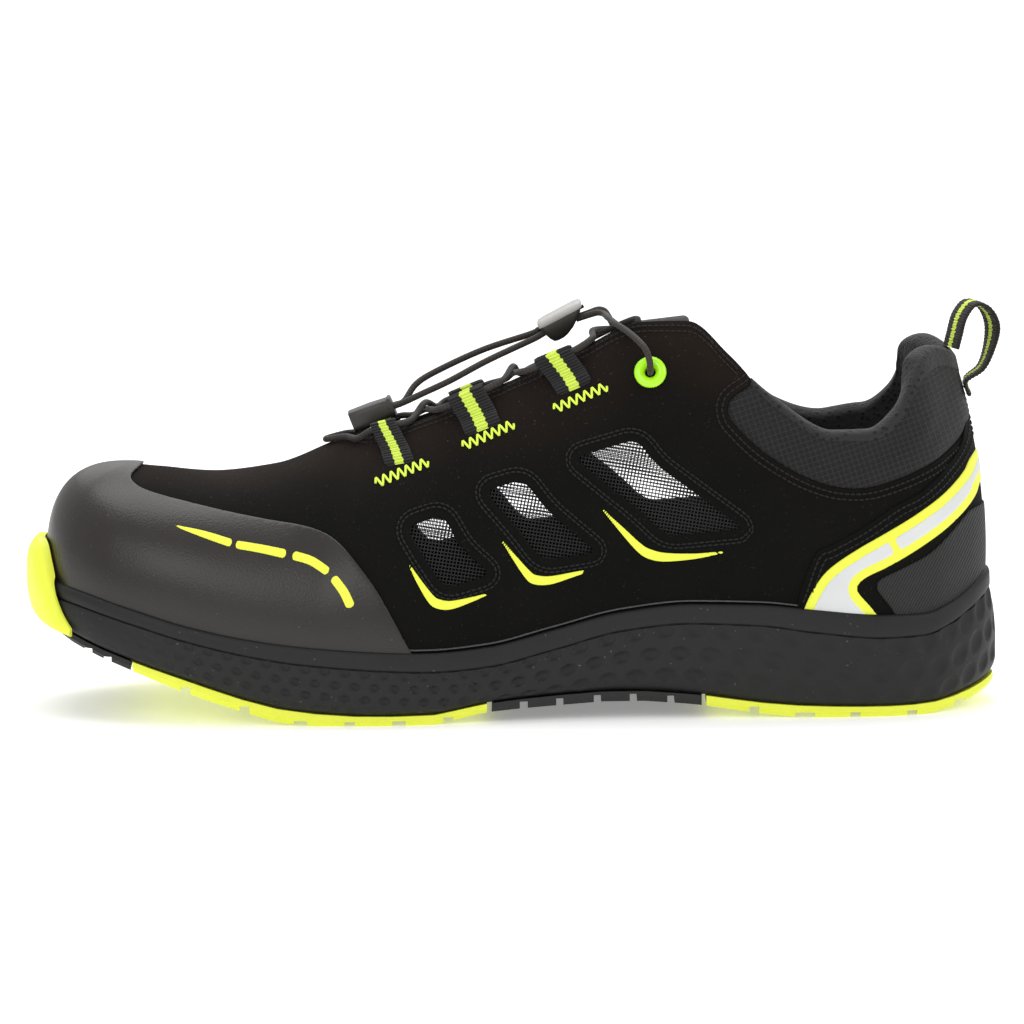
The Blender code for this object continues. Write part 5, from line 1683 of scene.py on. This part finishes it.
# Free way of the cord from each eyelet over the throat edge to the lock.
TAIL_ROUTES = {
    MEDIAL: ((41.3, -31.9, 109.7), (40.0, -30.9, 113.1), (37.5, -27.4, 115.6), (34.6, -23.1, 117.5),
             (31.6, -18.8, 119.0), (30.0, -14.4, 119.7), (28.7, -10.2, 120.2), (27.7, -5.6, 120.6)),
    LATERAL: ((41.7, 32.2, 103.1), (40.4, 31.0, 106.5), (37.4, 26.9, 108.6), (34.5, 22.7, 110.7),
              (31.5, 18.6, 112.7), (30.3, 14.4, 115.2), (29.1, 10.2, 118.0), (27.8, 5.6, 120.2)),
}


def cord_finish():
    """Braided elastic in dark brown-grey: slanting yarns cross round the cord."""
    cord = Finish("elastic_cord", specular_ior_level=0.3, sheen_weight=0.1)
    around = cord.attribute("around")
    along = cord.attribute("along")
    turns = [around * 5.0 + along * way * (2 * math.pi / 2.2) for way in (1.0, -1.0)]
    left, right = [cord.apply("SINE", turn) for turn in turns]
    braid = left * right * 0.5 + 0.5
    fibre = cord.noise(2600.0, 2.0)
    colour = cord.mix(braid * 0.8 + fibre * 0.2, (0.017, 0.0145, 0.0125), (0.045, 0.038, 0.033))
    return cord.done(colour, 0.6, braid + fibre * 0.4, 0.00012, 0.7)


def tube(name, route, material):
    """A round length of cord along a smooth path, its rings carried along without twist."""
    fine = curve(route, 16)
    length = np.linalg.norm(np.diff(fine, axis=0), axis=1).sum()
    path, run = even_line(fine, max(8, round(length / CORD_STEP)))
    heading = np.gradient(path, axis=0)
    heading /= np.linalg.norm(heading, axis=1, keepdims=True)
    side = np.cross(heading[0], (0.0, 0.0, 1.0))
    sections = []
    angles = np.linspace(0, 2 * math.pi, CORD_SIDES, endpoint=False)
    for place, way in zip(path, heading):
        side = side - way * (side @ way)
        side = side / np.linalg.norm(side)
        rise = np.cross(side, way)
        sections.append([place + CORD_RADIUS * (math.cos(a) * side + math.sin(a) * rise) for a in angles])
    cord = lofted(name, sections, material, 60)
    store(cord, around=np.tile(angles, len(path)), along=np.repeat(run, CORD_SIDES))
    return cord, path * MM, run[-1] * MM


def edge_point(side, turn):
    """Where the cord goes over the throat edge."""
    edge, up, out = edge_frame(side, turn)
    return edge + EDGE_UP * up + EDGE_OUT * out


def lace_half(first, over):
    """Half of the lace: round the throat's front, loops on alternate sides, then under the far flap."""
    route = [skin(first, turn, share, FRONT_LIFT) for turn, share in FRONT_WAY]
    side = first
    for turn, after in zip(LOOP_TURNS, LOOP_TURNS[1:] + (HIDDEN_TURN,)):
        if turn > LOOP_TURNS[0]:
            route.append(edge_point(side, turn - EDGE_STEP))
        for step in (-LOOP_ENTRY, 0.0, LOOP_ENTRY):
            route.append(loop_centre(side, turn + step))
        route.append(edge_point(side, turn + EDGE_STEP))
        between = (turn + after) / 2
        middle_s = float(UPPER("s", between))
        middle_z = float(UPPER("z", between) - UPPER("drop", between) / 2) + CROSS_RISE + over
        route.append(np.array((middle_s - LENGTH / 2, float(AXIS("y", middle_s)), middle_z)))
        over = CROSS_OVER - over
        side = -side
    edge, up, out = edge_frame(side, HIDDEN_TURN)
    return route + [edge + run * up - HIDDEN_DEPTH * out for run in HIDDEN_RUN]


def toggle_point(toggle, along, sideways, up):
    s, y, z = toggle["middle"]
    pitch = math.radians(toggle["pitch"])
    return np.array((s - LENGTH / 2 + along * math.cos(pitch) - up * math.sin(pitch), y + sideways,
                     z + along * math.sin(pitch) + up * math.cos(pitch)))


elastic_cord = cord_finish()


def make_lace():
    route = lace_half(MEDIAL, CROSS_OVER)[::-1] + lace_half(LATERAL, 0.0)
    lace, _, _ = tube("elastic_lace", route, elastic_cord)
    wear(lace, "elastic_cord", "lace_crossings")


make_lace()


# Cord lock and cord end: moulded plastic toggles. The lock is a wedge under a rounded press plate on a spring
# pin, its pale grey a painted highlight, and the cord end a tapered box over the two knotted ends, open at
# its front, where a pale block in the recess is a painted highlight.
LOCK_BODY = (
    (-4.6, -4.4, -1.6, 3.0), (-4.3, -5.2, -0.4, 3.7), (-3.0, -6.0, 2.2, 4.4), (-1.2, -6.6, 4.6, 4.9),
    (0.4, -7.0, 6.4, 5.2), (1.5, -7.0, 6.8, 5.2),
)
LOCK_PLATE = (
    (1.3, -7.1, 7.1, 5.2), (1.6, -7.4, 7.4, 5.45), (2.3, -7.5, 7.5, 5.5), (2.9, -7.4, 7.4, 5.4),
    (3.3, -7.0, 7.0, 5.0), (3.5, -6.2, 6.2, 4.2),
)
END_BODY = (
    (-6.1, 3.2, 2.3), (-6.8, 3.45, 2.5), (-7.0, 3.8, 2.85), (-6.9, 4.25, 3.2), (-6.4, 4.5, 3.3),
    (0.0, 4.4, 3.25), (5.6, 3.9, 2.9), (6.1, 4.1, 3.25), (6.8, 4.05, 3.2), (7.0, 3.3, 2.6),
)
# Pale block set in the recess at the cord end's front: a painted highlight on the dark plastic.
END_HIGHLIGHT = ((-6.0, 3.15, 2.25), (-6.5, 3.0, 2.1), (-6.65, 2.6, 1.7))
TOGGLE_EDGE = 1.9
PINS = (("rear", -7.15), ("front", 7.0))
PIN_HALF = (0.55, 0.75)
PIN_UP = 0.9
PIN_SIDES = 12


def plastic_finish(name, base, tint, rough):
    plastic = Finish(name, specular_ior_level=0.5)
    cloud = plastic.noise(190.0, 3.0)
    grain = plastic.noise(2000.0, 2.0)
    return plastic.done(plastic.mix(cloud, base, tint), rough + cloud * 0.15, grain, 0.00004, 0.5)


toggle_dark = plastic_finish("toggle_plastic", (0.020, 0.0175, 0.0155), (0.036, 0.031, 0.027), 0.32)
# The press plate is dark plastic: its pale grey base colour is a painted highlight, the reflection it catches
# at a grazing angle.
plate_highlight = plastic_finish("plate_highlight", (0.40, 0.385, 0.37), (0.50, 0.485, 0.47), 0.3)
# Pale cream plastic for the block in the cord end's front, where it paints the highlight.
painted_glint = plastic_finish("painted_glint", (0.62, 0.58, 0.52), (0.72, 0.68, 0.62), 0.5)


def box_piece(name, sections, material):
    return wear(lofted(name, sections, material, 40), "toggle_plastic")


def make_lock():
    """Level by level: up, rear and front end along the lock, half width."""
    pieces = []
    shapes = (("lock_body", LOCK_BODY, toggle_dark), ("lock_plate", LOCK_PLATE, plate_highlight))
    for name, levels, material in shapes:
        sections = []
        for up, rear, front, half in levels:
            outline = rounded(((rear, -half), (front, -half), (front, half), (rear, half)), TOGGLE_EDGE, 5)
            sections.append([toggle_point(LOCK, a, y, up) for a, y in outline])
        pieces.append(box_piece(name, sections, material))
    half, out = PIN_HALF
    angles = np.linspace(0, 2 * math.pi, PIN_SIDES, endpoint=False)
    ring = [(half * math.cos(a), half * math.sin(a)) for a in angles]
    for word, along in PINS:
        sections = []
        for reach in (-out, out):
            sections.append([toggle_point(LOCK, along + reach, y, PIN_UP + z) for y, z in ring])
        pieces.append(box_piece(f"lock_pin_{word}", sections, black_rubber))
    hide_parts("cord_lock")
    return pieces


def make_end():
    """Station by station: along, half width and half height."""
    pieces = []
    shapes = (("end_body", END_BODY, toggle_dark), ("end_insert", END_HIGHLIGHT, painted_glint))
    for name, stations, material in shapes:
        sections = []
        for along, half, rise in stations:
            outline = rounded(((-half, -rise), (half, -rise), (half, rise), (-half, rise)), TOGGLE_EDGE, 5)
            sections.append([toggle_point(END, along, y, z) for y, z in outline])
        pieces.append(box_piece(name, sections, material))
    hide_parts("cord_end")
    return pieces


lock_pieces = make_lock()
end_pieces = make_end()


# Free cord: the same elastic, as a tail from each eyelet to the lock and two ends from the lock to the
# cord end. Each is held at both its ends only.
TAIL_AT_EYELET = (-1.5, 2.5)

# At the lock: distance along it past its mouth, sideways and up.
TAIL_AT_LOCK = ((TAIL_GAP + TAIL_LEAD, 3.6, -2.6), (TAIL_GAP, 2.6, -2.1), (-TAIL_IN, 2.0, -1.4))

# Each end: sideways and up at the lock, points on the way, and sideways at the cord end.
END_ROUTES = {
    "upper": (((2.0, 0.5), (2.2, 0.6), (2.4, 0.6)),
              ((-9.3, 3.2, 108.5), (-23.2, 2.4, 102.2), (-30.0, 0.6, 98.2)), (-0.5, -0.7, -0.7)),
    "lower": (((-2.0, -0.5), (-2.2, -0.6), (-2.6, -0.6)),
              ((-8.0, -6.4, 106.4), (-19.5, -8.2, 100.4), (-27.5, -6.6, 96.4)), (-3.2, -3.0, -3.0)),
}


def make_cords():
    reach = LOCK["size"][0] / 2 + CORD_GAP
    back = END["size"][0] / 2 + CORD_GAP
    routes = {}
    for side, word in SIDE_WORDS:
        centre, normal, _, _ = eyelet_frame(side)
        route = [centre + run * normal for run in TAIL_AT_EYELET]
        route += [np.array(place) for place in TAIL_ROUTES[side]]
        route += [toggle_point(LOCK, reach + run, side * off, up) for run, off, up in TAIL_AT_LOCK]
        routes[f"lace_tail_{word}"] = route
    leave = (CORD_IN - reach, -reach, -reach - LEAD)
    arrive = (back + LEAD, back, back - CORD_IN)
    for word, (at_lock, free, at_end) in END_ROUTES.items():
        route = [toggle_point(LOCK, run, off, up) for run, (off, up) in zip(leave, at_lock)]
        route += [np.array(place) for place in free]
        route += [toggle_point(END, run, off, 0.0) for run, off in zip(arrive, at_end)]
        routes[f"lace_end_{word}"] = route
    for name, route in routes.items():
        cord, path, length = tube(name.replace("lace", "cord"), route, elastic_cord)
        wear(cord, "elastic_cord", name)
        lock_pieces if "tail" in name else end_pieces


make_cords()


# Pull loop: a band of dark webbing with a lime stripe, folded to a loop. Its ends are sewn to the cuff
# and to the strip up the back of the heel.
PULL_LINE = ((284.6, 109.4), (285.6, 113.5), (287.2, 119.4), (290.6, 123.4), (294.9, 121.6), (297.2, 116.4),
             (296.4, 109.8), (293.9, 103.4))
PULL_HALF = 5.5
PULL_THICK = 1.2
PULL_TWIST = math.radians(22.0)
PULL_SETTLE = 3
PULL_MIDDLE = 1.0
PULL_SEAT_LIFT = 2.2
PULL_SEAT_SHARES = (0.9, 0.84)
PULL_ROWS = 110
PULL_COLUMNS = 25
PULL_RIB = 0.8
PULL_STRIPE = 0.24

PULL_DARK = (0.0085, 0.0072, 0.0062)
PULL_TINT = (0.03, 0.025, 0.021)

pull_webbing = webbing_finish("pull_webbing", PULL_DARK, PULL_TINT, PULL_STRIPE, PULL_RIB)


def make_pull_loop():
    middle = [(s - LENGTH / 2, z) for s, z in PULL_LINE]
    for share in PULL_SEAT_SHARES:
        seat = skin(MEDIAL, 180.0, share, PULL_SEAT_LIFT)
        middle.append((seat[0], seat[2]))
    twists = [PULL_TWIST * min(1.0, max(0, len(PULL_LINE) - i) / PULL_SETTLE) for i in range(len(middle))]
    line, along = even_line(curve([(x, z, twist) for (x, z), twist in zip(middle, twists)], 14), PULL_ROWS)
    aside = PULL_HALF * np.linspace(-1, 1, PULL_COLUMNS)[None, :]
    twist = line[:, 2:]
    grid = np.stack((line[:, :1] - aside * np.sin(twist), PULL_MIDDLE + aside * np.cos(twist),
                     np.broadcast_to(line[:, 1:2], (PULL_ROWS, PULL_COLUMNS))), axis=-1)
    band = strap("pull_band", grid, along, PULL_THICK, PULL_STRIPE, PULL_RIB, pull_webbing)
    wear(band, "pull_webbing", "pull_loop")


make_pull_loop()


# Stitching: double rows of lockstitch in black thread, sewn through the nubuck round the windows, under
# the cuff, along the counter and along the throat.
STITCH_PITCH = 1.75
STITCH_RADIUS = 0.3
STITCH_LENGTH = 2.5
STITCH_LIFT = 0.12
WINDOW_ROWS = (2.4, 3.5)
CUFF_ROWS = (1.3, 3.0)
COUNTER_ROWS = (1.2, 3.0)
THROAT_ROWS = (1.4, 3.2)
THROAT_SEAM = (67.5, 117.0)
SEAM_POINTS = 120
SEAM_MISS = 3.0
SEAM_TOP = 0.985


def offset(line, distance, closed=False):
    """A side-view line moved to its left."""
    if closed:
        step = np.roll(line, -1, axis=0) - np.roll(line, 1, axis=0)
    else:
        step = np.gradient(line, axis=0)
    step = step / np.linalg.norm(step, axis=1, keepdims=True)
    return line + distance * np.stack((-step[:, 1], step[:, 0]), axis=1)


def stitch_lines():
    """Every sewn row as a line of points just over the face that it holds."""
    rows = []
    for side in SIDES:
        for loop in WINDOW_LOOPS:
            dense, _ = even_line(np.vstack((loop, loop[:1])), SEAM_POINTS)
            for distance in WINDOW_ROWS:
                ring = offset(dense[:-1], distance, True) + (WINDOW_SHIFT[side], 0.0)
                rows.append((side, np.vstack((ring, ring[:1])), STITCH_LIFT))
        cuff = curve(CUFF_LINE[1:-1], 8)
        rows += [(side, offset(cuff, -distance), STITCH_LIFT) for distance in CUFF_ROWS]
        counter = curve(COUNTER_LINE[1:], 8)
        rows += [(side, offset(counter, -distance), STITCH_LIFT + COUNTER_LIFT) for distance in COUNTER_ROWS]
    points = []
    edges = []
    for side, line, lift in rows:
        turn, share = on_skin(side, line[:, 0], line[:, 1])
        at = skin(side, turn, share, np.full(turn.shape, lift))
        miss = np.abs(at[:, 0] + LENGTH / 2 - line[:, 0]) + np.abs(at[:, 2] - line[:, 1])
        kept = (miss < SEAM_MISS) & (share > CUP_SHARE + 0.02) & (share < SEAM_TOP)
        number = len(points) + np.arange(len(line))
        points += list(at)
        edges += [(int(a), int(b)) for a, b, ok in zip(number, number[1:], kept[:-1] & kept[1:]) if ok]
    for side in SIDES:
        for inset in THROAT_ROWS:
            turn = np.linspace(*THROAT_SEAM, SEAM_POINTS)
            edge = skin(side, turn, 1.0)
            below = skin(side, turn, 0.96)
            share = 1 - 0.04 * inset / np.linalg.norm(edge - below, axis=1)
            number = len(points) + np.arange(len(turn))
            points += list(skin(side, turn, share, np.full(turn.shape, STITCH_LIFT)))
            edges += [(int(a), int(b)) for a, b in zip(number, number[1:])]
    used = sorted({i for edge in edges for i in edge})
    renumber = {old: new for new, old in enumerate(used)}
    return lines_mesh("stitch_lines", np.array(points)[used], [(renumber[a], renumber[b]) for a, b in edges])


def make_stitches():
    nodes = Nodes("stitches", {"Pitch": STITCH_PITCH * MM, "Radius": STITCH_RADIUS * MM})
    line = nodes.node("GeometryNodeMeshToCurve", {0: nodes.start[0]})
    even = nodes.node("GeometryNodeResampleCurve", {
        "Curve": line, "Length": nodes.start["Pitch"]}, {"mode": "LENGTH"})
    bead = nodes.node("GeometryNodeMeshUVSphere", {
        "Segments": 8, "Rings": 6, "Radius": nodes.start["Radius"]})
    stitch = nodes.node("GeometryNodeTransform", {0: bead, "Scale": (STITCH_LENGTH, 1.0, 1.0)})
    way = nodes.node("GeometryNodeInputTangent", {})
    turned = nodes.node("FunctionNodeAlignRotationToVector", {"Vector": way}, {"axis": "X"})
    sewn = nodes.node("GeometryNodeInstanceOnPoints", {
        "Points": even, "Instance": stitch, "Rotation": turned})
    wear(nodes.piece("stitching", stitch_lines(), sewn, black_thread), "nubuck")


make_stitches()
